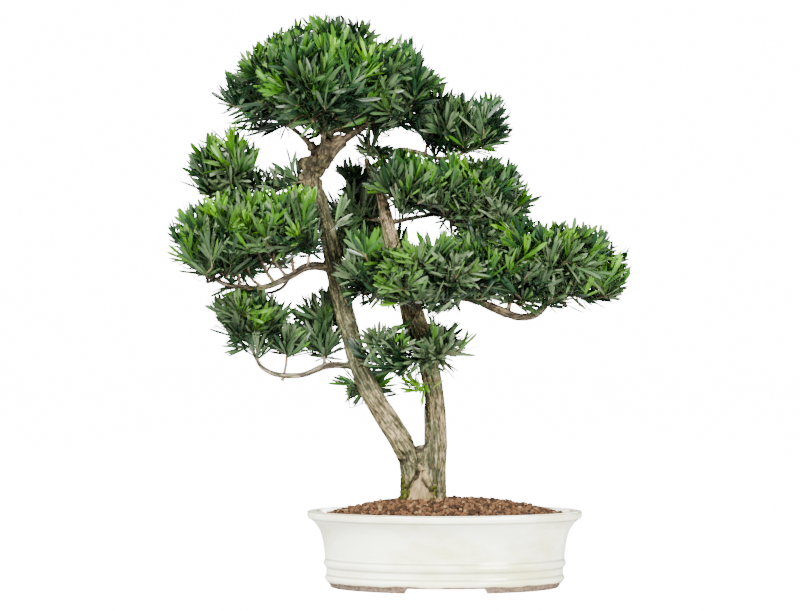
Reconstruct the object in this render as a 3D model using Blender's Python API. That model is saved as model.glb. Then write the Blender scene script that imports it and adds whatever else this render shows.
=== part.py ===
"""Podocarpus bonsai: a two-stemmed tree in an oval glazed pot.

Sizes are written in millimetres and scaled to metres as each mesh is finished.
X runs to the right, Y away from the viewer and Z up. The origin lies on the table,
under the middle of the plant's spread, so the pot stands a little to the right of it.
"""

import math
import random
from itertools import combinations

import bmesh
import bpy
from mathutils import Matrix, Vector

MM = 0.001
CLEARANCE = 0.3
GOLDEN_ANGLE = math.pi * (3 - math.sqrt(5))
UP = Vector((0, 0, 1))

# Pot: an oval bowl, long in X, with a flared lip, two raised bands and two long feet.
POT_CENTRE_X = 53.5
POT_HALF_LENGTH = 165.0
POT_DEPTH_RATIO = 0.77
POT_SEGMENTS = 28
POT_HEIGHT = 91.5
LIP_HEIGHT = 8.0
LIP_WIDTH = 13.0
LIP_ROUNDING = 1.5
WALL_FOOT = 24.0
WALL_LEAN = 0.07
FOOT_HEIGHT = 6.0
FOOT_WIDTH = 18.0
FOOT_INSET = 27.0
FOOT_GAP_TOP = 45.5
FOOT_GAP_BOTTOM = 51.5
FLOOR_TOP = 15.0
BAND_HEIGHTS = (10.5, 28.0)
BAND_SWELL = 2.2
# How far the wall lies inside the rim's edge, and at what height, outside and inside.
FLARE = ((18.5, 57.0), (15.0, 69.0), (9.0, 77.0), (3.0, POT_HEIGHT - LIP_HEIGHT))
INNER_WALL = ((22.0, 83.5), (27.0, 69.5), (30.0, 40.0), (36.0, FLOOR_TOP))

# Soil: a low mound that fills the pot, level under the trunk and lumpy elsewhere.
SOIL_EDGE = 86.5
SOIL_TOP = 102.7
SOIL_PATCH = 44.0
SOIL_RINGS = (0.93, 0.79, 0.64, 0.48)
SOIL_MIDDLE_RING = 23.0
LUMP_HEIGHTS = (2.2, 3.2)
LUMP_SPACING = 19.0
TRUNK_FOOT = (24, -2)
TRUNK_ROOM = 50.0

# Tree: the ground level of the trunk, and the number of sides and steps of its limbs.
GROUND = SOIL_TOP + CLEARANCE
FORK_HEIGHT = 154.0
CUTTER_WIDTH = 240.0
CUTTER_HEIGHT = 480.0
CUTTER_DEPTH = 80.0
STEM_SIDES = 10
BOUGH_SIDES = 5
TWIG_SIDES = 3
LIMB_STEPS = 2

# Leaves of the solids: fewer than on the living tree, and larger to fill the same crown.
LEAF_LENGTH = 50.0
LEAF_WIDTH = 18.0
LEAF_THICKNESS = 3.0
LEAF_WIDEST_AT = 0.45
LEAF_TRIMS = (1.0, 0.92, 0.84, 0.76, 0.68, 0.6)
LEAVES_PER_SHOOT = 6
LEAF_ROOT = 1.8
TWIG_ROOT = 2.0
LEAF_ROOM = 7.5
TWIG_ROOM = 2.6
LIMB_ROOM = 3.0
MASS_MARGIN = 0.05
MASS_REACH = 1.07
SHOOT_LENGTH = 24.0
SHOOT_SPACING = 50.0
LOWEST_SPREAD = 78
HIGHEST_SPREAD = 16
TWIG_TIP_RADIUS = 1.1
TWIG_GROWTH = 0.4
TWIG_STEPS = 2
CROWDING = 9.0
SEED = 11

# The two stems: points on the centre line with the stem's radius there.
LEFT_STEM = [
    (15, 0, 96, 17.5),
    (14.5, 0, 128, 13.2),
    (5, -1, 168, 14.0),
    (-23, -4, 212, 13.4),
    (-44, -6, 251, 12.4),
    (-58, -8, 296, 11.8),
    (-76, -11, 372, 11.6),
    (-93, -12, 450, 9.6),
    (-104, -10, 484, 10.6),
    (-98, -8, 507, 11.4),
    (-88, -7, 525, 7.4),
    (-84, -4, 556, 4.6),
    (-83, -3, 586, 3.2),
]
RIGHT_STEM = [
    (37, 2, 96, 19.5),
    (39, 3, 130, 16.4),
    (42, 5, 165, 14.6),
    (42, 6, 200, 13.6),
    (39, 8, 240, 12.2),
    (31, 9, 278, 12.6),
    (20, 9, 308, 15.0),
    (13, 10, 336, 13.6),
    (4, 12, 370, 10.4),
    (-7, 12, 405, 9.4),
    (-16, 11, 440, 8.4),
    (-23, 9, 470, 6.0),
    (-36, 6, 500, 4.4),
    (-41, 5, 514, 3.4),
]
ROOT_KNEE = [(24, -6, 94, 20.0), (25, -10, 112, 15.0), (27, -6, 132, 9.0)]

# Each bough: the limb that it leaves, its centre line, and its radius at the start and the tip.
BOUGHS = {
    "bough_right_low": (
        "stem_right",
        [(16, 9, 330), (34, 4, 350), (62, 1, 352), (96, -4, 342), (134, -6, 325), (160, -4, 325)]
        + [(179, 0, 342)],
        (7.4, 4.2),
    ),
    "bough_right_pad": ("bough_right_low", [(127, -6, 328), (133, -9, 342), (141, -9, 356)], (2.9, 2.0)),
    "bough_right_inner": ("bough_right_low", [(72, 0, 350), (73, -12, 349), (74, -21, 352)], (2.6, 2.0)),
    "bough_right_rise": (
        "bough_right_low",
        [(88, -3, 345), (96, 7, 366), (92, 12, 392), (88, 10, 415), (94, 5, 435)],
        (3.8, 2.4),
    ),
    "bough_right_middle": ("bough_right_rise", [(88, 10, 415), (68, 8, 433), (53, 5, 446)], (2.5, 1.9)),
    "bough_right_back": ("stem_right", [(-15, 11, 436), (16, 42, 444), (48, 62, 450)], (3.4, 2.2)),
    "bough_upper_right": (
        "stem_right",
        [(-35, 6, 498), (-17, 12, 518), (0, 16, 525), (22, 17, 522), (42, 12, 515), (62, 6, 515)]
        + [(79, 0, 522)],
        (3.9, 2.2),
    ),
    "bough_upper_right_twig": (
        "bough_upper_right",
        [(31, 16, 519), (32, 17, 529), (35, 18, 538)],
        (2.2, 1.8),
    ),
    "bough_left_middle": (
        "trunk",
        [(-78, -11, 379), (-96, -16, 384), (-114, -20, 382), (-134, -22, 370), (-165, -20, 358)]
        + [(-205, -14, 361), (-230, -9, 374)],
        (6.2, 2.6),
    ),
    "bough_left_middle_fork": (
        "bough_left_middle",
        [(-134, -22, 370), (-144, -29, 382), (-152, -34, 393)],
        (2.4, 1.8),
    ),
    "bough_left_middle_spur": (
        "bough_left_middle",
        [(-110, -19, 382), (-109, -31, 390), (-107, -38, 400)],
        (2.4, 1.8),
    ),
    "bough_left_rear": (
        "bough_left_middle",
        [(-131, -22, 371), (-143, -10, 357), (-165, 8, 352), (-184, 30, 362), (-190, 42, 374)],
        (2.2, 1.7),
    ),
    "bough_left_low": (
        "trunk",
        [(-50, -7, 264), (-86, -12, 265), (-116, -15, 254), (-146, -14, 254), (-165, -12, 263)]
        + [(-173, -10, 276)],
        (4.5, 2.5),
    ),
    "bough_left_low_twig": ("bough_left_low", [(-90, -12, 266), (-91, -3, 273), (-93, 5, 281)], (2.4, 1.8)),
    "bough_left_upper": (
        "trunk",
        [(-100, -10, 474), (-124, -4, 471), (-148, 0, 467), (-174, 4, 466), (-192, 6, 471)],
        (4.6, 2.3),
    ),
    "bough_crown_left": (
        "trunk",
        [(-97, -8, 509), (-108, -8, 530), (-124, -5, 546), (-142, -2, 558)],
        (4.4, 2.6),
    ),
    "bough_crown_front": ("trunk", [(-95, -8, 512), (-92, -24, 532), (-90, -40, 550)], (4.2, 2.6)),
    "bough_crown_back": ("trunk", [(-94, -8, 512), (-86, 14, 534), (-80, 36, 552)], (4.2, 2.6)),
    "bough_crown_right": (
        "trunk",
        [(-94, -8, 513), (-70, -8, 534), (-48, -4, 548), (-30, 0, 559)],
        (7.0, 3.0),
    ),
    "bough_centre_back": ("stem_right", [(-16, 11, 440), (-30, 27, 441), (-44, 37, 443)], (2.8, 2.0)),
    "bough_back": ("stem_right", [(2, 12, 385), (-8, 40, 386), (-20, 58, 387)], (3.0, 2.1)),
    "bough_front_left": ("stem_right", [(8, 11, 356), (-8, -12, 355), (-23, -27, 358)], (2.8, 2.0)),
    "bough_front": ("stem_right", [(18, 9, 320), (21, -14, 325), (23, -25, 334)], (3.0, 2.1)),
}

# Each mass of leaves: the limb that its stem leaves, its centre, and its half sizes in X, Y and Z.
# The stem leaves the limb's tip, or its side where the fourth entry gives points inside and outside it.
MASSES = {
    "leaves_crown_left": ("bough_crown_left", (-157, 0, 599), (59, 76, 58)),
    "leaves_crown_front": ("bough_crown_front", (-90, -70, 595), (60, 62, 60)),
    "leaves_crown_top": ("trunk", (-84, 0, 640), (64, 64, 46)),
    "leaves_crown_back": ("bough_crown_back", (-78, 72, 600), (62, 62, 58)),
    "leaves_crown_right": ("bough_crown_right", (-8, 0, 602), (55, 76, 58)),
    "leaves_upper_left": ("bough_left_upper", (-208, 8, 500), (52, 58, 46)),
    "leaves_upper_left_spur": ("trunk", (-134, -24, 490), (39, 32, 30), ((-103, -10, 484), (-118, -22, 484))),
    "leaves_middle_left_outer": ("bough_left_middle", (-219, -18, 415), (55, 62, 52)),
    "leaves_middle_left": ("bough_left_middle_fork", (-164, -44, 427), (42, 44, 48)),
    "leaves_middle_left_inner": ("bough_left_middle_spur", (-108, -56, 434), (46, 44, 46)),
    "leaves_middle_left_rear": ("bough_left_rear", (-186, 66, 414), (56, 54, 46)),
    "leaves_low_left": ("bough_left_low", (-181, -8, 324), (48, 56, 46)),
    "leaves_low_left_inner": ("bough_left_low_twig", (-94, 14, 314), (33, 42, 46)),
    "leaves_stem_sprout": ("trunk", (-44, 28, 240), (42, 29, 28), ((-41, -6, 246), (-42, 16, 238))),
    "leaves_stem_shoot": ("stem_right", (25, -28, 243), (28, 26, 26), ((38, 8, 256), (34, -10, 252))),
    "leaves_centre_low": ("stem_right", (19, -42, 288), (67, 44, 40), ((29, 9, 286), (24, -16, 280))),
    "leaves_front_left": ("bough_front_left", (-34, -60, 383), (44, 48, 50)),
    "leaves_front": ("bough_front", (26, -60, 372), (50, 52, 52)),
    "leaves_centre_back": ("bough_centre_back", (-56, 48, 460), (46, 46, 60)),
    "leaves_back": ("bough_back", (-36, 88, 398), (50, 52, 50)),
    "leaves_stem_top": ("stem_right", (-25, -14, 533), (32, 33, 28)),
    "leaves_centre": ("stem_right", (2, -26, 480), (44, 38, 43), ((-22, 9, 466), (-10, -10, 468))),
    "leaves_right_middle": ("bough_right_middle", (50, 0, 478), (45, 50, 42)),
    "leaves_right_outer": ("bough_right_rise", (112, 2, 467), (53, 57, 49)),
    "leaves_upper_right": ("bough_upper_right_twig", (42, 18, 564), (34, 42, 42)),
    "leaves_upper_right_outer": ("bough_upper_right", (95, -2, 554), (38, 44, 40)),
    "leaves_right_inner": ("bough_right_inner", (74, -38, 368), (42, 46, 42)),
    "leaves_right_link": ("bough_right_rise", (97, -24, 416), (31, 34, 30), ((92, 12, 392), (93, -1, 396))),
    "leaves_right_pad": ("bough_right_pad", (154, -4, 387), (49, 64, 57)),
    "leaves_right_pad_outer": ("bough_right_low", (222, 0, 384), (53, 66, 51)),
    "leaves_right_back": ("bough_right_back", (84, 88, 470), (60, 52, 48)),
    "leaves_low_left_link": ("bough_left_low", (-135, -4, 297), (31, 38, 28), ((-139, -14, 253), (-137, -11, 262))),
}

# Finishes: base colour, roughness and metallic value.
FINISHES = {
    "glaze": ((0.86, 0.85, 0.74), 0.18, 0.0),
    "soil": ((0.30, 0.15, 0.09), 0.95, 0.0),
    "bark": ((0.36, 0.31, 0.22), 0.85, 0.0),
    "leaf": ((0.05, 0.16, 0.04), 0.4, 0.0),
}


def clear_scene():
    for old in list(bpy.data.objects):
        bpy.data.objects.remove(old)


def finish_material(name):
    if name in bpy.data.materials:
        return bpy.data.materials[name]
    colour, roughness, metallic = FINISHES[name]
    made = bpy.data.materials.new(name)
    made.use_nodes = True
    shader = made.node_tree.nodes["Principled BSDF"]
    shader.inputs["Base Color"].default_value = (*colour, 1)
    shader.inputs["Roughness"].default_value = roughness
    shader.inputs["Metallic"].default_value = metallic
    return made


def object_from(bm, name, finish, collection=None):
    """Turns a bmesh in millimetres into an object in metres whose faces point outwards."""
    bmesh.ops.recalc_face_normals(bm, faces=bm.faces)
    bmesh.ops.scale(bm, vec=(MM, MM, MM), verts=bm.verts)
    mesh = bpy.data.meshes.new(name)
    bm.to_mesh(mesh)
    bm.free()
    mesh.materials.append(finish_material(finish))
    made = bpy.data.objects.new(name, mesh)
    (collection or bpy.context.scene.collection).objects.link(made)
    return made


def as_helper(helper):
    helper.hide_render = True
    helper.display_type = "WIRE"
    return helper


def boolean(target, operation, other):
    """Joins target with an object or a collection, or cuts it by one, and then removes that."""
    modifier = target.modifiers.new(operation.title(), "BOOLEAN")
    modifier.operation = operation
    modifier.solver = "EXACT"
    if isinstance(other, bpy.types.Collection):
        modifier.operand_type = "COLLECTION"
        modifier.collection = other
    else:
        modifier.object = other
    bpy.context.view_layer.update()
    graph = bpy.context.evaluated_depsgraph_get()
    finished = bpy.data.meshes.new_from_object(target.evaluated_get(graph))
    target.modifiers.clear()
    target.data = finished
    if isinstance(other, bpy.types.Collection):
        for part in list(other.objects):
            bpy.data.objects.remove(part)
        bpy.data.collections.remove(other)
    else:
        bpy.data.objects.remove(other)
    keep_largest(target)


def keep_largest(target):
    """Drops the scraps that a cut leaves apart from the main body, and the shells of sealed hollows."""
    bm = bmesh.new()
    bm.from_mesh(target.data)
    bm.faces.ensure_lookup_table()
    left, shells = set(bm.faces), []
    while left:
        shell, edge_of_shell = set(), [left.pop()]
        while edge_of_shell:
            face = edge_of_shell.pop()
            shell.add(face)
            near = {f for edge in face.edges for f in edge.link_faces} & left
            left -= near
            edge_of_shell += near
        shells.append(shell)
    largest = max(shells, key=lambda faces: sum(f.calc_area() for f in faces))
    scraps = [face for shell in shells if shell is not largest for face in shell]
    if scraps:
        bmesh.ops.delete(bm, geom=scraps, context="FACES")
        bm.to_mesh(target.data)
    bm.free()


def smooth_line(points, steps=LIMB_STEPS):
    """A Catmull-Rom curve through the points, which may carry a radius as a fourth number."""
    before = [2 * a - b for a, b in zip(points[0], points[1])]
    after = [2 * a - b for a, b in zip(points[-1], points[-2])]
    run = [before, *points, after]
    line = []
    for four in zip(run, run[1:], run[2:], run[3:]):
        for step in range(steps):
            t = step / steps
            weights = (
                0.5 * t * (-1 + t * (2 - t)),
                1 + 0.5 * t * t * (-5 + 3 * t),
                0.5 * t * (1 + t * (4 - 3 * t)),
                0.5 * t * t * (t - 1),
            )
            line.append([sum(w * p for w, p in zip(weights, values)) for values in zip(*four)])
    return [*line, list(points[-1])]


def ring_frames(line, radii, start_way=None):
    """A matrix for each point of a line that puts a unit circle square to it there, at its radius."""
    line = [Vector(p) for p in line]
    side = None
    frames = []
    for i, (centre, radius) in enumerate(zip(line, radii)):
        along = (line[min(i + 1, len(line) - 1)] - line[max(i - 1, 0)]).normalized()
        if i == 0 and start_way is not None:
            along = start_way
        if side is None:
            side = along.orthogonal()
        side = (side - along * side.dot(along)).normalized()
        turned = Matrix((side, along.cross(side), along)).transposed()
        frames.append(Matrix.Translation(centre) @ turned.to_4x4() @ Matrix.Scale(radius, 4))
    return frames


def add_tube(bm, line, radii, sides, start_way=None):
    """A closed tube round a line: a disc is extruded from each point of the line to the next."""
    frames = ring_frames(line, radii, start_way)
    disc = bmesh.ops.create_circle(bm, cap_ends=True, segments=sides, radius=1, matrix=frames[0])
    face = disc["verts"][0].link_faces[0]
    for here, there in zip(frames, frames[1:]):
        grown = bmesh.ops.extrude_face_region(bm, geom=[face])["geom"]
        if here is not frames[0]:
            bmesh.ops.delete(bm, geom=[face], context="FACES_ONLY")
        ring = {g for g in grown if isinstance(g, bmesh.types.BMVert)}
        bmesh.ops.transform(bm, matrix=there @ here.inverted(), verts=list(ring))
        face = next(g for g in grown if isinstance(g, bmesh.types.BMFace) and set(g.verts) == ring)


class Limb:
    """A tapering limb: its centre line, its radii and the number of its sides."""

    def __init__(self, points, radii, sides):
        self.line = [Vector(p) for p in points]
        self.radii = radii
        self.sides = sides

    @classmethod
    def from_stem(cls, stem):
        line = smooth_line(stem)
        return cls([p[:3] for p in line], [p[3] for p in line], STEM_SIDES)

    @classmethod
    def from_bough(cls, points, thick, thin):
        line = smooth_line(points)
        taper = (thin - thick) / (len(line) - 1)
        return cls(line, [thick + taper * i for i in range(len(line))], BOUGH_SIDES)

    def solid(self, name, grow=0.0):
        bm = bmesh.new()
        add_tube(bm, self.line, [r + grow for r in self.radii], self.sides)
        return object_from(bm, name, "bark")

    def room(self):
        """The shape that cuts what meets this limb, so that the clearance stays between them."""
        return as_helper(self.solid("room", grow=CLEARANCE))

    def tip(self):
        return self.line[-1], (self.line[-1] - self.line[-2]).normalized(), self.radii[-1]

    def distance(self, point):
        """How far a point lies outside the limb's surface."""
        nearest = math.inf
        for a, b, ra, rb in zip(self.line, self.line[1:], self.radii, self.radii[1:]):
            span = b - a
            t = min(1.0, max(0.0, (point - a).dot(span) / span.length_squared))
            nearest = min(nearest, (point - a - span * t).length - (ra + (rb - ra) * t))
        return nearest


def turned_solid(name, profile, finish):
    """Spins a half section round the upright axis and squeezes it to the pot's oval."""
    bm = bmesh.new()
    points = [bm.verts.new((r, 0, z)) for r, z in profile]
    section = points + [bm.edges.new(pair) for pair in zip(points, points[1:])]
    turn = 2 * math.pi
    bmesh.ops.spin(
        bm, geom=section, cent=(0, 0, 0), axis=UP, angle=turn, steps=POT_SEGMENTS, use_merge=True
    )
    bmesh.ops.remove_doubles(bm, verts=bm.verts, dist=0.001)
    bmesh.ops.scale(bm, vec=(1, POT_DEPTH_RATIO, 1), verts=bm.verts)
    bmesh.ops.translate(bm, vec=(POT_CENTRE_X, 0, 0), verts=bm.verts)
    return object_from(bm, name, finish)


def wall_points(insets):
    return [(POT_HALF_LENGTH - inset, height) for inset, height in insets]


def pot_profile():
    """Half section from the underside's middle, up the outside, over the lip and down to the floor."""
    top, half = POT_HEIGHT, POT_HALF_LENGTH
    foot_outer = half - FOOT_INSET
    wall = [(half - WALL_FOOT, FOOT_HEIGHT)]
    for height in BAND_HEIGHTS:
        base = half - WALL_FOOT + WALL_LEAN * height
        wall += [(base + BAND_SWELL, height + 0.5), (base + BAND_SWELL, height + 4), (base, height + 7)]
    lip = [(half - 0.6, top - LIP_HEIGHT + LIP_ROUNDING), (half, top - LIP_ROUNDING)]
    lip += [(half - LIP_ROUNDING, top), (half - LIP_WIDTH, top - 0.4)]
    foot = [(foot_outer - FOOT_WIDTH - 1, FOOT_HEIGHT), (foot_outer - FOOT_WIDTH, 0), (foot_outer, 0)]
    outside = [(0, FOOT_HEIGHT), *foot, *wall, *wall_points(FLARE)]
    return [*outside, *lip, *wall_points(INNER_WALL), (0, FLOOR_TOP)]


def make_pot():
    """The feet's ring is cut away at the front and back, which leaves the two long feet at the ends."""
    pot = turned_solid("pot", pot_profile(), "glaze")
    bm = bmesh.new()
    size = Matrix.Diagonal((FOOT_GAP_TOP, POT_HALF_LENGTH, FOOT_HEIGHT, 1))
    bmesh.ops.create_cube(bm, size=2, matrix=size)
    lower = [v for v in bm.verts if v.co.z < 0]
    bmesh.ops.scale(bm, vec=((2 * FOOT_GAP_BOTTOM - FOOT_GAP_TOP) / FOOT_GAP_TOP, 1, 1), verts=lower)
    bmesh.ops.translate(bm, vec=(POT_CENTRE_X, 0, -0.2), verts=bm.verts)
    boolean(pot, "DIFFERENCE", as_helper(object_from(bm, "foot_gap", "glaze")))
    return pot


def make_soil():
    """The fill follows the pot's inner wall, the clearance away from it, under a low lumpy mound."""
    wall = [(r - 1.5 * CLEARANCE, z + CLEARANCE) for r, z in reversed(wall_points(INNER_WALL))]
    edge = wall[-1][0]
    wall.append((edge + 1.5, SOIL_EDGE))
    mound = []
    for reach in SOIL_RINGS:
        fall = (reach - SOIL_PATCH / edge) / (1 - SOIL_PATCH / edge)
        mound.append((edge * reach, SOIL_TOP - (SOIL_TOP - SOIL_EDGE) * fall**1.5))
    patch = [(SOIL_PATCH, SOIL_TOP), (SOIL_MIDDLE_RING, SOIL_TOP), (0, SOIL_TOP)]
    soil = turned_solid("soil", [(0, wall[0][1]), *wall, *mound, *patch], "soil")
    add_lumps(soil)
    return soil


def add_lumps(soil):
    """Raises the middles of faces of the mound, spaced apart and clear of the trunk."""
    chance = random.Random(SEED)
    bm = bmesh.new()
    bm.from_mesh(soil.data)
    lumps = []
    for face in [f for f in bm.faces if f.normal.z > 0.7 and len(f.verts) == 4]:
        middle = face.calc_center_median().xy / MM
        apart = all((middle - lump).length > LUMP_SPACING for lump in lumps)
        if apart and (middle - Vector(TRUNK_FOOT)).length > TRUNK_ROOM:
            lumps.append(middle)
            bmesh.ops.poke(bm, faces=[face], offset=chance.uniform(*LUMP_HEIGHTS) * MM)
    bm.to_mesh(soil.data)
    bm.free()
    print(len(lumps), "lumps on the soil")


def half_space(x, level, depth):
    """A block for cutting a stem: up from a level, or down from it where the depth is negative."""
    bm = bmesh.new()
    place = Matrix.Translation((x, 0, level + depth / 2))
    sizes = Matrix.Diagonal((CUTTER_WIDTH, CUTTER_WIDTH, abs(depth), 1))
    bmesh.ops.create_cube(bm, size=1, matrix=place @ sizes)
    return as_helper(object_from(bm, "level", "bark"))


def make_stems(limbs):
    """The trunk is the left stem, the root knee and the right stem's foot, cut flat at ground level.
    The right stem stands on its foot in the fork, the clearance above it."""
    trunk = limbs["trunk"].solid("trunk")
    parts = bpy.data.collections.new("trunk_parts")
    bpy.context.scene.collection.children.link(parts)
    foot = limbs["stem_right"].solid("right_foot")
    fork_x = RIGHT_STEM[1][0]
    boolean(foot, "DIFFERENCE", half_space(fork_x, FORK_HEIGHT, CUTTER_HEIGHT))
    for part in (foot, Limb.from_stem(ROOT_KNEE).solid("root_knee")):
        bpy.context.scene.collection.objects.unlink(part)
        parts.objects.link(as_helper(part))
    boolean(trunk, "UNION", parts)
    boolean(trunk, "DIFFERENCE", half_space(fork_x, GROUND, -CUTTER_DEPTH))
    stem = limbs["stem_right"].solid("stem_right")
    boolean(stem, "DIFFERENCE", half_space(fork_x, FORK_HEIGHT + CLEARANCE, -CUTTER_DEPTH))


def make_bough(name, limbs):
    parent, points, ends = BOUGHS[name]
    limb = Limb.from_bough(points, *ends)
    bough = limb.solid(name)
    boolean(bough, "DIFFERENCE", limbs[parent].room())
    return limb


def share_of(point, mass):
    """0 at a mass's centre and 1 on the surface of its ellipsoid."""
    centre, half = MASSES[mass][1:3]
    return math.sqrt(sum(((p - c) / s) ** 2 for p, c, s in zip(point, centre, half)))


def in_own_space(points, mass):
    """True if every point lies in the mass's ellipsoid, nearer to its centre than to any other's."""
    others = [name for name in MASSES if name != mass]
    for point in points:
        own = share_of(point, mass)
        if own > MASS_REACH or any(share_of(point, other) < own + MASS_MARGIN for other in others):
            return False
    return True


def clear_of_limbs(points, limbs, gap):
    return all(limb.distance(p) > gap for p in points for limb in limbs)


def shoot_ends(mass, spacing, chance):
    """Ends and headings of the shoots, spread by the golden angle round all but a mass's underside."""
    centre, half = (Vector(v) for v in MASSES[mass][1:3])
    inner = Vector([max(0.52 * s, s - 0.6 * LEAF_LENGTH) for s in half])
    area = 4 * math.pi * (inner.x * inner.y + inner.x * inner.z + inner.y * inner.z) / 3
    count = max(3, round(area / spacing**2) + 1)
    ends = []
    for k in range(count):
        height = 1 - 1.6 * (k + 0.4) / count
        ring = math.sqrt(1 - height * height)
        turn = k * GOLDEN_ANGLE + chance.uniform(-0.25, 0.25)
        out = Vector((ring * math.cos(turn), ring * math.sin(turn), height))
        reach = chance.uniform(0.84, 1.0)
        end = centre + Vector([o * s * reach for o, s in zip(out, inner)])
        heading = (Vector([o / s for o, s in zip(out, half)]).normalized() + 0.45 * UP).normalized()
        ends.append((end, heading))
    return ends


def bent_line(start, start_way, end, end_way, steps):
    """A Bezier curve between two points with the given directions there."""
    reach = (end - start).length * 0.36
    a, b = start + start_way * reach, end - end_way * reach
    line = []
    for step in range(steps + 1):
        t = step / steps
        s = 1 - t
        line.append(s**3 * start + 3 * s * s * t * a + 3 * s * t * t * b + t**3 * end)
    return line


class Twig:
    """One twig: its line, the number of shoots beyond each of its points, and where it starts."""

    def __init__(self, line, root=None):
        self.line = line
        self.load = [0] * len(line)
        self.root = root

    def radii(self):
        return [TWIG_TIP_RADIUS * max(1, load) ** TWIG_GROWTH for load in self.load]


def grow_twigs(start, way, mass, ends, limbs):
    """Joins each shoot's end to the nearest point of the twigs grown so far, the nearest ends first."""
    centre, half = (Vector(v) for v in MASSES[mass][1:3])
    hub = centre - UP * half.z * 0.3 + (start - centre) * 0.12
    stem = Twig(bent_line(start, way, hub, (hub - start).normalized(), TWIG_STEPS))
    twigs, used = [stem], {}
    for end, heading in sorted(ends, key=lambda shoot: (shoot[0] - start).length):
        choices = []
        for twig in twigs:
            for i in range(1, len(twig.line)):
                gap = end - twig.line[i]
                ahead = (twig.line[i] - twig.line[i - 1]).normalized()
                if gap.length > 0.4 * SHOOT_LENGTH:
                    turn = 1.35 - 0.5 * ahead.dot(gap.normalized())
                    cost = gap.length * turn + CROWDING * used.get((id(twig), i), 0)
                    choices.append((cost, len(choices), twig, i, ahead))
        if not choices:
            continue
        _, _, twig, i, ahead = min(choices)
        root = twig.line[i]
        line = bent_line(root, (ahead + (end - root).normalized()).normalized(), end, heading, TWIG_STEPS)
        line[0] = root - ahead * TWIG_ROOT
        middles = [a.lerp(b, 0.5) for a, b in zip(line, line[1:])]
        if not clear_of_limbs(line + middles, limbs, TWIG_ROOM) or not in_own_space(line, mass):
            continue
        used[id(twig), i] = used.get((id(twig), i), 0) + 1
        twigs.append(Twig(line, (twig, i)))
    for shoot in twigs[1:]:
        twig, last = shoot, len(shoot.line) - 1
        while twig is not None:
            for i in range(last + 1):
                twig.load[i] += 1
            twig, last = twig.root or (None, 0)
    return stem, twigs[1:]


def back_along(line, distance):
    """The point at a distance back from a line's end, and the line's direction there."""
    for a, b in zip(line[-2::-1], line[:0:-1]):
        span = (b - a).length
        if distance <= span:
            return b + (a - b) * distance / span, (b - a).normalized()
        distance -= span
    return line[0], (line[1] - line[0]).normalized()


def segments_apart(a, b, c, d):
    """The least distance between the segment from a to b and the one from c to d."""
    u, v, w = b - a, d - c, a - c
    uu, uv, vv, uw, vw = u.dot(u), u.dot(v), v.dot(v), u.dot(w), v.dot(w)
    span = uu * vv - uv * uv
    s = min(1.0, max(0.0, (uv * vw - vv * uw) / span)) if span > 1e-9 else 0.0
    t = min(1.0, max(0.0, (uv * s + vw) / vv))
    s = min(1.0, max(0.0, (uv * t - uw) / uu))
    return (w + u * s - v * t).length


def leaf_corners(foot, way, face, trim):
    """Root, tip and the two edges of a blade: a slim tetrahedron whose ridge runs along its upper side."""
    length, width = LEAF_LENGTH * trim, LEAF_WIDTH * math.sqrt(trim)
    middle = foot + way * length * LEAF_WIDEST_AT - face * LEAF_THICKNESS
    aside = way.cross(face) * width / 2
    return foot, foot + way * length, middle + aside, middle - aside


def leaves_on(line, mass, limbs, taken, chance):
    """Leaves in a spiral round the end of a shoot, the lowest spread wide and the last one upright."""
    side = (line[-1] - line[-2]).orthogonal().normalized()
    offset = chance.uniform(0, 2 * math.pi)
    for k in range(LEAVES_PER_SHOOT):
        height = k / (LEAVES_PER_SHOOT - 1)
        foot, along = back_along(line, LEAF_ROOT + (SHOOT_LENGTH - LEAF_ROOT) * (1 - height))
        turn = offset + k * GOLDEN_ANGLE
        spread = math.radians(LOWEST_SPREAD + (HIGHEST_SPREAD - LOWEST_SPREAD) * height)
        out = math.cos(turn) * side + math.sin(turn) * along.cross(side)
        way = (math.cos(spread) * along + math.sin(spread) * out + 0.1 * UP).normalized()
        face = (along - way * along.dot(way)).normalized()
        for trim in LEAF_TRIMS:
            corners = leaf_corners(foot, way, face, trim)
            tip = corners[1]
            blade = (foot.lerp(tip, 0.3), tip)
            tests = [*corners[1:], *(foot.lerp(tip, share) for share in (0.3, 0.5, 0.7, 0.85))]
            tests += [edge.lerp(end, 0.5) for edge in corners[2:] for end in (foot, tip)]
            if (
                all(segments_apart(*blade, a, b) > room for a, b, room in taken)
                and in_own_space(tests, mass)
                and clear_of_limbs(tests, limbs, LIMB_ROOM)
            ):
                taken.append((*blade, LEAF_ROOM))
                yield corners
                break


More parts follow.
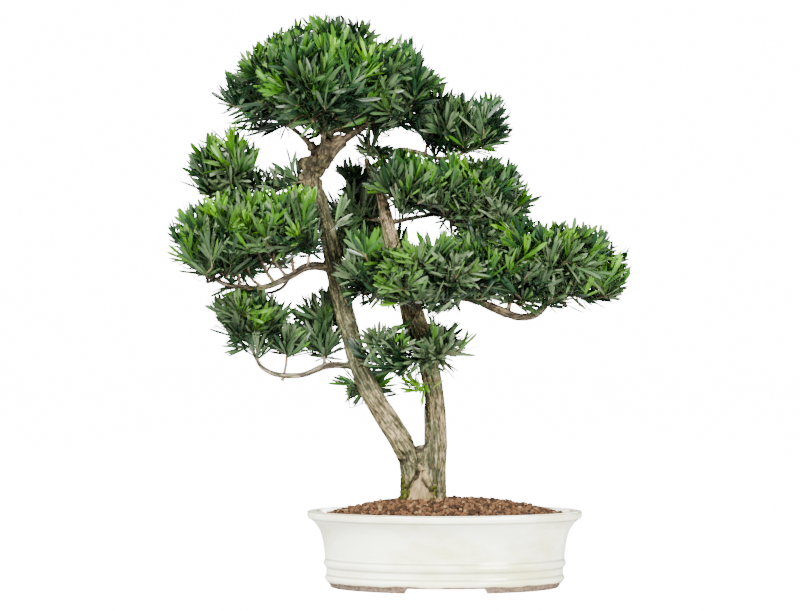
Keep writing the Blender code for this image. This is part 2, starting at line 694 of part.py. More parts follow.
def make_mass(name, limbs, chance):
    """The stem starts clear beyond a limb's tip, or inside a limb that its side is then cut clear of."""
    feeder, at_side = limbs[MASSES[name][0]], MASSES[name][3:]
    others = list(limbs.values())
    if at_side:
        inside, outside = (Vector(p) for p in at_side[0])
        start, way, thick = outside, (outside - inside).normalized(), 2.4
    else:
        inside, way, thick = feeder.tip()
        start, thick = inside + way * CLEARANCE, 0.9 * thick
    stem, shoots = grow_twigs(start, way, name, shoot_ends(name, SHOOT_SPACING, chance), others)
    line, radii = stem.line, [min(thick, r) for r in stem.radii()]
    bm = bmesh.new()
    if at_side:
        line, radii = [inside, *line], [radii[0], *radii]
    add_tube(bm, line, radii, TWIG_SIDES + 2, way)
    mass = object_from(bm, name, "leaf")
    if at_side:
        boolean(mass, "DIFFERENCE", feeder.room())
    parts = bpy.data.collections.new(name + "_parts")
    bpy.context.scene.collection.children.link(parts)
    taken = [(a, b, TWIG_ROOM) for twig in (stem, *shoots) for a, b in zip(twig.line, twig.line[1:])]
    count = 0
    for shoot in shoots:
        bm = bmesh.new()
        radii = shoot.radii()
        add_tube(bm, shoot.line, [0.5 * radii[0], *radii[1:]], TWIG_SIDES)
        as_helper(object_from(bm, "twig", "leaf", parts))
        for corners in leaves_on(shoot.line, name, others, taken, chance):
            bm = bmesh.new()
            for three in combinations([bm.verts.new(corner) for corner in corners], 3):
                bm.faces.new(three)
            as_helper(object_from(bm, "leaf", "leaf", parts))
            count += 1
    boolean(mass, "UNION", parts)
    mass.data.calc_loop_triangles()
    print(f"{name}: {len(shoots)} shoots, {count} leaves, {len(mass.data.loop_triangles)} triangles")
    return count


def main():
    clear_scene()
    make_pot()
    make_soil()
    limbs = {"trunk": Limb.from_stem(LEFT_STEM), "stem_right": Limb.from_stem(RIGHT_STEM)}
    make_stems(limbs)
    for name in BOUGHS:
        limbs[name] = make_bough(name, limbs)
    chance = random.Random(SEED)
    total = sum(make_mass(name, limbs, chance) for name in MASSES)
    print(f"{total} leaves in all")
    for made in bpy.data.objects:
        made.data.calc_loop_triangles()
        if not made.name.startswith("leaves"):
            made.data.shade_smooth()
            made.data.set_sharp_from_angle(angle=math.radians(40))
    print(sum(len(made.data.loop_triangles) for made in bpy.data.objects), "triangles in all")


main()
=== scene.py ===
import math

import bmesh
import bpy
import numpy as np
from mathutils import Matrix, Vector, noise


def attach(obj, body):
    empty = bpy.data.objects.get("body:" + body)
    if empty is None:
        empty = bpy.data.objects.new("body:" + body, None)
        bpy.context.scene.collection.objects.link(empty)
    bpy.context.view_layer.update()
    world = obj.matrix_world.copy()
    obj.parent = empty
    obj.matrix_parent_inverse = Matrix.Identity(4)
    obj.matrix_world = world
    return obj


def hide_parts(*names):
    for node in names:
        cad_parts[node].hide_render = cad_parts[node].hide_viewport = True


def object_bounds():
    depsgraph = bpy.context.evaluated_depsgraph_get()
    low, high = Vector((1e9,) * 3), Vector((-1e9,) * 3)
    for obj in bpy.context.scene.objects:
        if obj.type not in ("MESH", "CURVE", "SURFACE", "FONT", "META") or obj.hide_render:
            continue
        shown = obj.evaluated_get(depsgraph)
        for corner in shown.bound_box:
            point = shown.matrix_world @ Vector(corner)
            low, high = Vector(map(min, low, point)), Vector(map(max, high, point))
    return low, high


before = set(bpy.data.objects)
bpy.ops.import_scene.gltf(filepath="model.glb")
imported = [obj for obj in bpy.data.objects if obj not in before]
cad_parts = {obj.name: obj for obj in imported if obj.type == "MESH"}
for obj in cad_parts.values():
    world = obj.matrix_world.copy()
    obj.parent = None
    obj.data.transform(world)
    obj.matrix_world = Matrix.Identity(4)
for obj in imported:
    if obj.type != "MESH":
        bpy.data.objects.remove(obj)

# %% [markdown]
# A podocarpus bonsai: two stems from one foot, thin arching boughs, and dense clouds of narrow
# glossy leaves, in an oval cream pot. Lengths below are millimetres, and MM turns them into metres
# as a mesh is made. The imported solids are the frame: every piece here stays where they are.

# %% Units, helpers and the solids' box
MM = 0.001
GOLDEN_ANGLE = math.pi * (3 - math.sqrt(5))
UP = Vector((0, 0, 1))
cad_box = [list(corner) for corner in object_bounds()]
scene = bpy.context.scene


def deselect():
    for other in bpy.context.selected_objects:
        other.select_set(False)


def activate(piece):
    deselect()
    piece.select_set(True)
    bpy.context.view_layer.objects.active = piece


def apply_modifier(piece, kind, **settings):
    activate(piece)
    modifier = piece.modifiers.new(kind.title(), kind)
    for key, value in settings.items():
        setattr(modifier, key, value)
    bpy.ops.object.modifier_apply(modifier=modifier.name)


def mesh_piece(name, vertices, faces, smooth=True):
    """An object from an array of points in millimetres."""
    mesh = bpy.data.meshes.new(name)
    mesh.from_pydata((np.asarray(vertices, float) * MM).tolist(), [], faces)
    piece = bpy.data.objects.new(name, mesh)
    scene.collection.objects.link(piece)
    mesh.shade_smooth() if smooth else mesh.shade_flat()
    return piece


def triangles(piece):
    piece.data.calc_loop_triangles()
    return len(piece.data.loop_triangles)


print("the solids' box:", cad_box)

# %% [markdown]
# The studio is a white floor that runs out to a white surround, with one wide soft light above on the
# left, a weaker one low on the right and a faint one behind. A surround bright enough to look white would also wash the tree
# out, so a Light Path node shows it white to the camera and lets it shine only weakly as a light. The
# lens is long and nearly level, which keeps the pot's rim almost a line.

# %% Studio: floor, surround, lights and camera
CAMERA_DISTANCE = 3400
CAMERA_HEIGHT = 290
AIM_HEIGHT = 337
LENS = 127.5
FILL_STRENGTH = 0.22
WHITE = 16.0
FLOOR_SHADE = 0.55


def plain_material(name, colour, roughness, gloss=0.5):
    made = bpy.data.materials.new(name)
    made.use_nodes = True
    shader = made.node_tree.nodes["Principled BSDF"]
    shader.inputs["Base Color"].default_value = (*colour, 1)
    shader.inputs["Roughness"].default_value = roughness
    shader.inputs["Specular IOR Level"].default_value = gloss
    return made


def brighter_to_camera(tree, socket, in_the_light, seen):
    """Gives a strength one value as a light and another as what the camera sees directly."""
    path = tree.nodes.new("ShaderNodeLightPath")
    pick = tree.nodes.new("ShaderNodeMapRange")
    pick.inputs["To Min"].default_value = in_the_light
    pick.inputs["To Max"].default_value = seen
    tree.links.new(path.outputs["Is Camera Ray"], pick.inputs["Value"])
    tree.links.new(pick.outputs["Result"], socket)


def area_light(name, location, size, power):
    deselect()
    bpy.ops.object.light_add(type="AREA", location=location)
    light = bpy.context.object
    light.name = name
    light.data.size = size
    light.data.energy = power
    light.rotation_euler = (Vector((0, 0, 0.35)) - light.location).to_track_quat("-Z", "Y").to_euler()
    return light


deselect()
bpy.ops.mesh.primitive_plane_add(size=60)
floor = bpy.context.object
floor.name = "floor"
floor_finish = plain_material("floor", (FLOOR_SHADE, FLOOR_SHADE, FLOOR_SHADE), 0.9)
floor_shader = floor_finish.node_tree.nodes["Principled BSDF"]
floor_shader.inputs["Emission Color"].default_value = (1, 1, 1, 1)
brighter_to_camera(floor_finish.node_tree, floor_shader.inputs["Emission Strength"], 0, WHITE - FILL_STRENGTH)
floor.data.materials.append(floor_finish)
surround = bpy.data.worlds.new("surround")
scene.world = surround
surround.use_nodes = True
background = surround.node_tree.nodes["Background"]
background.inputs["Color"].default_value = (1, 1, 1, 1)
brighter_to_camera(surround.node_tree, background.inputs["Strength"], FILL_STRENGTH, WHITE)
area_light("key", (-1.3, -1.7, 2.1), 0.8, 430)
area_light("side", (1.8, -2.2, 0.6), 1.2, 250)
area_light("back", (0.6, 2.6, 1.9), 2.0, 170)
deselect()
bpy.ops.object.camera_add(location=Vector((0, -CAMERA_DISTANCE, CAMERA_HEIGHT)) * MM)
camera = bpy.context.object
aim = Vector((0, 0, AIM_HEIGHT)) * MM
camera.rotation_euler = (aim - camera.location).to_track_quat("-Z", "Y").to_euler()
camera.data.lens = LENS
scene.camera = camera

# %% [markdown]
# The limbs follow the solids: each is a curve through a few points with a radius at each. On a living
# bonsai a stem swells at old cuts and narrows above each branch, so the radii are not an even taper.

# %% Lines of the stems and boughs
LEFT_STEM = [
    (15, 0, 96, 17.5),
    (14.5, 0, 128, 13.2),
    (5, -1, 168, 14.0),
    (-23, -4, 212, 13.4),
    (-44, -6, 251, 12.4),
    (-58, -8, 296, 11.8),
    (-76, -11, 372, 11.6),
    (-93, -12, 450, 9.6),
    (-104, -10, 484, 10.6),
    (-98, -8, 507, 11.4),
    (-88, -7, 525, 7.4),
    (-84, -4, 556, 4.6),
    (-83, -3, 586, 3.2),
]
RIGHT_STEM = [
    (37, 2, 96, 19.5),
    (39, 3, 130, 16.4),
    (42, 5, 165, 14.6),
    (42, 6, 200, 13.6),
    (39, 8, 240, 12.2),
    (31, 9, 278, 12.6),
    (20, 9, 308, 15.0),
    (13, 10, 336, 13.6),
    (4, 12, 370, 10.4),
    (-7, 12, 405, 9.4),
    (-16, 11, 440, 8.4),
    (-23, 9, 470, 6.0),
    (-36, 6, 500, 4.4),
    (-41, 5, 514, 3.4),
]
ROOT_KNEE = [(24, -6, 94, 20.0), (25, -10, 112, 15.0), (27, -6, 132, 9.0)]
BOUGHS = {
    "bough_right_low": (
        [(16, 9, 330), (34, 4, 350), (62, 1, 352), (96, -4, 342), (134, -6, 325), (160, -4, 325), (179, 0, 342)],
        (7.4, 4.2),
    ),
    "bough_right_pad": ([(127, -6, 328), (133, -9, 342), (141, -9, 356)], (2.9, 2.0)),
    "bough_right_inner": ([(72, 0, 350), (73, -12, 349), (74, -21, 352)], (2.6, 2.0)),
    "bough_right_rise": (
        [(88, -3, 345), (96, 7, 366), (92, 12, 392), (88, 10, 415), (94, 5, 435)],
        (3.8, 2.4),
    ),
    "bough_right_middle": ([(88, 10, 415), (68, 8, 433), (53, 5, 446)], (2.5, 1.9)),
    "bough_right_back": ([(-15, 11, 436), (16, 42, 444), (48, 62, 450)], (3.4, 2.2)),
    "bough_upper_right": (
        [(-35, 6, 498), (-17, 12, 518), (0, 16, 525), (22, 17, 522), (42, 12, 515), (62, 6, 515), (79, 0, 522)],
        (3.9, 2.2),
    ),
    "bough_upper_right_twig": ([(31, 16, 519), (32, 17, 529), (35, 18, 538)], (2.2, 1.8)),
    "bough_left_middle": (
        [(-78, -11, 379), (-96, -16, 384), (-114, -20, 382), (-134, -22, 370), (-165, -20, 358), (-205, -14, 361)]
        + [(-230, -9, 374)],
        (6.2, 2.6),
    ),
    "bough_left_middle_fork": ([(-134, -22, 370), (-144, -29, 382), (-152, -34, 393)], (2.4, 1.8)),
    "bough_left_middle_spur": ([(-110, -19, 382), (-109, -31, 390), (-107, -38, 400)], (2.4, 1.8)),
    "bough_left_rear": (
        [(-131, -22, 371), (-143, -10, 357), (-165, 8, 352), (-184, 30, 362), (-190, 42, 374)],
        (2.2, 1.7),
    ),
    "bough_left_low": (
        [(-50, -7, 264), (-86, -12, 265), (-116, -15, 254), (-146, -14, 254), (-165, -12, 263), (-173, -10, 276)],
        (4.5, 2.5),
    ),
    "bough_left_low_twig": ([(-90, -12, 266), (-91, -3, 273), (-93, 5, 281)], (2.4, 1.8)),
    "bough_left_upper": (
        [(-100, -10, 474), (-124, -4, 471), (-148, 0, 467), (-174, 4, 466), (-192, 6, 471)],
        (4.6, 2.3),
    ),
    "bough_crown_left": ([(-97, -8, 509), (-108, -8, 530), (-124, -5, 546), (-142, -2, 558)], (4.4, 2.6)),
    "bough_crown_front": ([(-95, -8, 512), (-92, -24, 532), (-90, -40, 550)], (4.2, 2.6)),
    "bough_crown_back": ([(-94, -8, 512), (-86, 14, 534), (-80, 36, 552)], (4.2, 2.6)),
    "bough_crown_right": ([(-94, -8, 513), (-70, -8, 534), (-48, -4, 548), (-30, 0, 559)], (7.0, 3.0)),
    "bough_centre_back": ([(-16, 11, 440), (-30, 27, 441), (-44, 37, 443)], (2.8, 2.0)),
    "bough_back": ([(2, 12, 385), (-8, 40, 386), (-20, 58, 387)], (3.0, 2.1)),
    "bough_front_left": ([(8, 11, 356), (-8, -12, 355), (-23, -27, 358)], (2.8, 2.0)),
    "bough_front": ([(18, 9, 320), (21, -14, 325), (23, -25, 334)], (3.0, 2.1)),
}
LINE_STEPS = 6


def smooth_line(points, steps=LINE_STEPS):
    """A Catmull-Rom curve through the points, with whatever numbers each point carries."""
    before = [2 * a - b for a, b in zip(points[0], points[1])]
    after = [2 * a - b for a, b in zip(points[-1], points[-2])]
    run = [before, *points, after]
    line = []
    for four in zip(run, run[1:], run[2:], run[3:]):
        for step in range(steps):
            t = step / steps
            weights = (
                0.5 * t * (-1 + t * (2 - t)),
                1 + 0.5 * t * t * (-5 + 3 * t),
                0.5 * t * (1 + t * (4 - 3 * t)),
                0.5 * t * t * (t - 1),
            )
            line.append([sum(w * p for w, p in zip(weights, values)) for values in zip(*four)])
    return np.array([*line, list(points[-1])], float)


def bough_line(points, thick, thin):
    share = np.linspace(0, 1, len(points))
    return smooth_line([(*p, thick + (thin - thick) * s) for p, s in zip(points, share)])


limbs = {"trunk": smooth_line(LEFT_STEM), "stem_right": smooth_line(RIGHT_STEM)}
limbs |= {name: bough_line(points, *ends) for name, (points, ends) in BOUGHS.items()}
print(len(limbs), "limbs of", sum(len(line) for line in limbs.values()), "points")

# %% [markdown]
# The wood is drawn as round curves, which are turned to meshes, joined and remeshed by voxels. That
# melts each bough into its stem with a soft collar, the way wood grows, where a cut would leave a seam.

# %% Wood: one skin over all limbs
WOOD_VOXEL = 1.22
GROUND = 103.0
SOIL_DIP = 4.0


def round_curve(name, line):
    """A curve with a round section whose radius follows the line's fourth number."""
    curve = bpy.data.curves.new(name, "CURVE")
    curve.dimensions = "3D"
    curve.bevel_depth = MM
    curve.bevel_resolution = 6
    curve.use_fill_caps = True
    spline = curve.splines.new("POLY")
    spline.points.add(len(line) - 1)
    for point, (x, y, z, radius) in zip(spline.points, line):
        point.co = (x * MM, y * MM, z * MM, 1)
        point.radius = radius
    made = bpy.data.objects.new(name, curve)
    scene.collection.objects.link(made)
    return made


# Old cuts that have healed to knobs, and the web of wood where the stems part: x, y, z and radius.
KNOBS = [
    [(-106, -12, 478, 11), (-113, -15, 488, 9), (-112, -16, 497, 6)],
    [(-100, -10, 498, 13), (-111, -13, 507, 10), (-112, -12, 514, 6)],
    [(-94, -14, 512, 8), (-100, -18, 522, 5)],
    [(-99, -11, 506, 14), (-92, -12, 519, 13), (-82, -11, 530, 9), (-70, -10, 538, 6)],
    [(-104, -8, 524, 7), (-108, -8, 533, 5)],
    [(-88, -9, 516, 10), (-78, -12, 526, 7), (-66, -10, 533, 5)],
    [(-96, -14, 458, 9), (-88, -19, 468, 5)],
    [(-100, -4, 466, 9), (-92, 2, 474, 6)],
    [(24, -1, 140, 10), (25, 0, 156, 7), (25, 1, 170, 3.4)],
    [(32, 2, 262, 11), (42, -2, 268, 7), (45, -4, 270, 4)],
    [(24, 6, 302, 12), (33, 1, 309, 9), (36, -1, 314, 5)],
    [(-62, -14, 316, 9), (-55, -20, 322, 5)],
    [(-84, -16, 392, 9), (-78, -22, 400, 5)],
]
curves = [round_curve(name, line) for name, line in limbs.items()]
curves += [round_curve("knob", smooth_line(line)) for line in [ROOT_KNEE, *KNOBS]]
deselect()
for curve in curves:
    curve.select_set(True)
bpy.context.view_layer.objects.active = curves[0]
bpy.ops.object.convert(target="MESH")
bpy.ops.object.join()
wood = bpy.context.object
wood.name = "wood"
apply_modifier(wood, "REMESH", mode="VOXEL", voxel_size=WOOD_VOXEL * MM, adaptivity=0)
apply_modifier(wood, "SMOOTH", factor=0.5, iterations=3)
activate(wood)
bpy.ops.object.mode_set(mode="EDIT")
bpy.ops.mesh.select_all(action="SELECT")
level = (0, 0, (GROUND - SOIL_DIP) * MM)
bpy.ops.mesh.bisect(plane_co=level, plane_no=(0, 0, 1), use_fill=True, clear_inner=True)
bpy.ops.object.mode_set(mode="OBJECT")
print("wood:", triangles(wood), "triangles")

# %% [markdown]
# Podocarpus bark is thin and peels in long strips, so its furrows run along the limb. Each point of the
# skin finds its nearest limb and gets a place on it: round, and along. Noise that is stretched along
# the limb gives the furrows where it crosses zero, and lumps where it is broad. High on the left stem,
# where many cuts have healed, the bark is old, lumpy and broken into plates. The foot has marks of its
# own: a smooth bare heel, the crevice between the stems, an old knot, and moss.

# %% Places on the limbs
def limb_places(points):
    """For each point: the way out of its nearest limb, its length along it, its angle, the radius there and the limb."""
    count = len(points)
    nearest = np.full(count, np.inf)
    out, along, turn, thick = np.zeros((count, 3)), np.zeros(count), np.zeros(count), np.ones(count)
    owner = np.zeros(count, int)
    for number, line in enumerate([*limbs.values(), smooth_line(ROOT_KNEE)]):
        low, high = line[:, :3].min(0) - 30, line[:, :3].max(0) + 30
        near = np.flatnonzero(((points > low) & (points < high)).all(1))
        side = Vector((1, 0, 0.01))
        run = 37.0 * number
        for a, b in zip(line, line[1:]):
            start, span = a[:3], b[:3] - a[:3]
            length = np.linalg.norm(span)
            ahead = Vector(span / length)
            side = (side - ahead * side.dot(ahead)).normalized()
            across = ahead.cross(side)
            t = np.clip((points[near] - start) @ span / length**2, 0, 1)
            radius = a[3] + (b[3] - a[3]) * t
            away = points[near] - start - t[:, None] * span
            reach = np.linalg.norm(away, axis=1)
            better = reach - radius < nearest[near]
            chosen = near[better]
            nearest[chosen] = (reach - radius)[better]
            out[chosen] = away[better] / np.maximum(reach[better], 1e-6)[:, None]
            along[chosen] = run + t[better] * length
            turn[chosen] = np.arctan2(away[better] @ np.array(across), away[better] @ np.array(side))
            thick[chosen] = radius[better]
            owner[chosen] = number
            run += length
    return out, along, turn, thick, owner


skin = np.zeros(len(wood.data.vertices) * 3)
wood.data.vertices.foreach_get("co", skin)
skin = skin.reshape(-1, 3) / MM
out, along, turn, thick, owner = limb_places(skin)

# %% Bark relief
STRIP_WIDTH = 4.6
STRIP_LENGTH = 62.0
FURROW_DEPTH = 1.3
CRACK_DEPTH = 0.55
LUMP_DEPTH = 1.3
OLD_LUMP = 3.6
OLD_CREVICE = 3.2
OLD_FROM, OLD_TO = 450, 482
OLIVE_FROM, OLIVE_TO = 205, 290
FULL_RELIEF_RADIUS = 11.0
TWIST = 0.006
PATCH_STRETCH = (1, 1, 1.4)
# Crevices and scars on the front of the foot, carved and also painted near black as painted shade: points (x, z), width
# and depth.
MARKS = [
    ([(20, 170), (22, 162), (23, 153), (23, 142), (20, 133), (13, 125), (9, 118), (8, 108)], 1.9, 4.0),
    ([(27, 131), (34, 122), (41, 114), (46, 108)], 3.0, 3.6),
    ([(2, 159), (7, 155), (6, 150)], 4.6, 4.0),
    ([(-1, 150), (1, 146)], 2.6, 2.5),
    ([(13, 177), (20, 170), (25, 163)], 3.6, 1.2),
    ([(25, 163), (31, 172)], 3.0, 1.0),
    ([(26, 236), (31, 215), (33, 198)], 1.3, 2.0),
    ([(-58, 290), (-52, 262), (-40, 236)], 1.3, 1.4),
    ([(-92, 430), (-84, 395), (-74, 352)], 1.3, 1.4),
]
# Moss cushions: centre and radius.
MOSS = [(0, -6, 122, 9), (-1, -8, 113, 12), (3, -6, 104, 12), (42, -12, 103, 6), (27, -2, 103, 22)]
# Bare places where strips have come off: centre and radius.
BARE = [
    (-21, -10, 208, 8), (-14, -12, 198, 9), (-7, -12, 187, 8), (50, -4, 222, 7), (51, -4, 200, 7), (53, -4, 178, 7),
    (52, -4, 158, 6), (33, -10, 238, 6), (-22, 3, 462, 8), (-16, 2, 444, 9), (-9, 2, 426, 9), (-2, 4, 406, 8),
    (-22, 8, 513, 8), (-8, 12, 522, 8), (8, 12, 525, 8), (25, 12, 521, 8), (42, 8, 515, 7), (-27, 2, 478, 7),
    (-33, 0, 494, 7),
]
# Bloom of algae: centre and radius.
BLOOM = [
    (36, -6, 172, 15), (43, -8, 134, 14), (15, -6, 147, 13), (-18, -10, 232, 12), (0, -2, 205, 11), (-14, -2, 226, 12),
    (-34, -6, 250, 14), (9, -2, 186, 10), (30, -2, 236, 8), (-62, -14, 330, 11), (-74, -16, 372, 10), (14, -4, 306, 13),
    (6, -13, 140, 11), (34, -12, 153, 12), (46, -9, 118, 11), (10, -13, 160, 8), (36, -8, 190, 9),
]


def bark_relief(x, y, s, radius, age):
    """Depth of the bark at a point on a limb, and how far it lies in a furrow, from 0 to 1."""
    strip = noise.noise(Vector((x / STRIP_WIDTH, y / STRIP_WIDTH, s / STRIP_LENGTH)))
    strip += 0.4 * noise.noise(Vector((x / 2.1, y / 2.1, s / 22 + 9)))
    furrow = math.exp(-((strip / 0.09) ** 2))
    crack = math.exp(-((noise.noise(Vector((x / 2.3, y / 2.3, s / 31 + 80))) / 0.08) ** 2))
    lump = noise.noise(Vector((x / 15, y / 15, s / 30 + 40)))
    crevice = math.exp(-((noise.noise(Vector((x / 8, y / 8, s / 13 + 120))) / 0.13) ** 2))
    size = min(1.0, radius / FULL_RELIEF_RADIUS)
    depth = LUMP_DEPTH * lump - FURROW_DEPTH * furrow - CRACK_DEPTH * crack
    depth += age * (OLD_LUMP * lump - OLD_CREVICE * crevice)
    return size * depth, max(furrow, 0.6 * crack, age * crevice)


def ragged_patches(centres, sharpness):
    """A mask that is 1 inside patches, each a centre and radius, with an uneven edge."""
    mask = np.zeros(len(skin))
    for *centre, radius in centres:
        reach = np.linalg.norm((skin - centre) / PATCH_STRETCH, axis=1) / radius
        mask = np.maximum(mask, np.clip(sharpness * (1.08 - reach + 0.55 * rough), 0, 1))
    return mask


def distance_to_mark(points, line):
    """Distance of each point, seen from the front, to a broken line of (x, z) points."""
    best = np.full(len(points), np.inf)
    flat = points[:, [0, 2]]
    for a, b in zip(np.array(line[:-1], float), np.array(line[1:], float)):
        t = np.clip((flat - a) @ (b - a) / ((b - a) @ (b - a)), 0, 1)
        best = np.minimum(best, np.linalg.norm(flat - a - t[:, None] * (b - a), axis=1))
    return best


angle = turn + TWIST * along
grain = np.column_stack((np.cos(angle) * thick, np.sin(angle) * thick, along))
crown_limbs = [number for number, name in enumerate(limbs) if name.startswith("bough_crown")]
old = np.where(owner == 0, np.clip((skin[:, 2] - OLD_FROM) / (OLD_TO - OLD_FROM), 0, 1), 0)
old[np.isin(owner, crown_limbs)] = 0.7
old[owner == list(limbs).index("bough_right_low")] = 0.5
relief = np.array([bark_relief(x, y, s, r, a) for (x, y, s), r, a in zip(grain, thick, old)])
heel = (owner == len(limbs)).astype(float)
bough = ((owner > 1) & (heel == 0)).astype(float)
olive = np.clip((skin[:, 2] - OLIVE_FROM) / (OLIVE_TO - OLIVE_FROM), 0, 1) * np.where(owner == 0, 1, 0.25 * (1 - bough))
depth = relief[:, 0] * (1 - 0.8 * heel)
dark = relief[:, 1] * (1 - 0.85 * heel)
rough = np.array([noise.noise(Vector(point / 4)) for point in skin])
# Each mark is carved and also painted near black through the furrow mask: painted shade in the crevice.
for line, width, deep in MARKS:
    mark = np.exp(-((distance_to_mark(skin, line) / (width * (1 + 0.7 * rough))) ** 2)) * (out[:, 1] < 0.3)
    depth -= deep * mark
    dark = np.maximum(dark, mark)
moss = ragged_patches(MOSS, 3) * np.where(heel > 0, skin[:, 2] < 108, 1)
depth += 2.0 * moss * (0.6 + rough)
bloom, bare = ragged_patches(BLOOM, 1.5), ragged_patches(BARE, 2)
skin += out * depth[:, None]
wood.data.vertices.foreach_set("co", (skin * MM).ravel())
wood.data.attributes.new("grain", "FLOAT_VECTOR", "POINT").data.foreach_set("vector", grain.ravel())
BARK_MASKS = {"Furrow": dark, "Heel": heel, "Moss": moss, "Bloom": bloom, "Bare": bare, "Old": old, "Olive": olive}
BARK_MASKS["Bough"] = bough
for label, values in BARK_MASKS.items():
    wood.data.attributes.new(label.lower(), "FLOAT", "POINT").data.foreach_set("value", values)
wood.data.update()
wood.data.shade_smooth()
print(f"bark: {int((moss > 0.5).sum())} points under moss")

# %% [markdown]
# Bark colour: grey-beige strips, and near-black brown in the furrows, cracks and crevices that the relief carves, which
# is partly the bark's own colour and partly painted shade. There are patches where a strip has come off and the fresh
# pinkish layer shows, and a green bloom of algae. The patterns read the place along the limb that was stored with the
# relief, so they run with the grain. All the effects are built in one node group.

# %% Bark finish
def node_group(name, inputs, outputs):
    """An empty shader node group with named sockets, its input node and its output node."""
    group = bpy.data.node_groups.new(name, "ShaderNodeTree")
    for label, kind in inputs.items():
        group.interface.new_socket(label, in_out="INPUT", socket_type=kind)
    for label, kind in outputs.items():
        group.interface.new_socket(label, in_out="OUTPUT", socket_type=kind)
    return group, group.nodes.new("NodeGroupInput"), group.nodes.new("NodeGroupOutput")


def add_noise(tree, vector, scale, detail=3.0, roughness=0.55):
    made = tree.nodes.new("ShaderNodeTexNoise")
    made.inputs["Scale"].default_value = scale
    made.inputs["Detail"].default_value = detail
    made.inputs["Roughness"].default_value = roughness
    tree.links.new(vector, made.inputs["Vector"])
    return made.outputs["Fac"]


def add_steps(tree, value, low, high):
    """Turns a value into a mask that rises from 0 at low to 1 at high."""
    made = tree.nodes.new("ShaderNodeMapRange")
    made.interpolation_type = "SMOOTHSTEP"
    made.inputs["From Min"].default_value = low
    made.inputs["From Max"].default_value = high
    tree.links.new(value, made.inputs["Value"])
    return made.outputs["Result"]


def add_math(tree, operation, first, second):
    made = tree.nodes.new("ShaderNodeMath")
    made.operation = operation
    for socket, value in zip(made.inputs, (first, second)):
        if isinstance(value, (int, float)):
            socket.default_value = value
        else:
            tree.links.new(value, socket)
    return made.outputs["Value"]


def add_mix(tree, mask, first, second):
    """Mixes two colours, each a colour or an output, by a mask."""
    made = tree.nodes.new("ShaderNodeMix")
    made.data_type = "RGBA"
    tree.links.new(mask, made.inputs["Factor"])
    for label, value in (("A", first), ("B", second)):
        socket = next(i for i in made.inputs if i.name == label and i.type == "RGBA")
        if isinstance(value, tuple):
            socket.default_value = (*value, 1)
        else:
            tree.links.new(value, socket)
    return next(o for o in made.outputs if o.type == "RGBA")


def add_scaled(tree, vector, scale):
    made = tree.nodes.new("ShaderNodeMapping")
    made.inputs["Scale"].default_value = scale
    tree.links.new(vector, made.inputs["Vector"])
    return made.outputs["Vector"]


BARK_GLOSS = 0.1


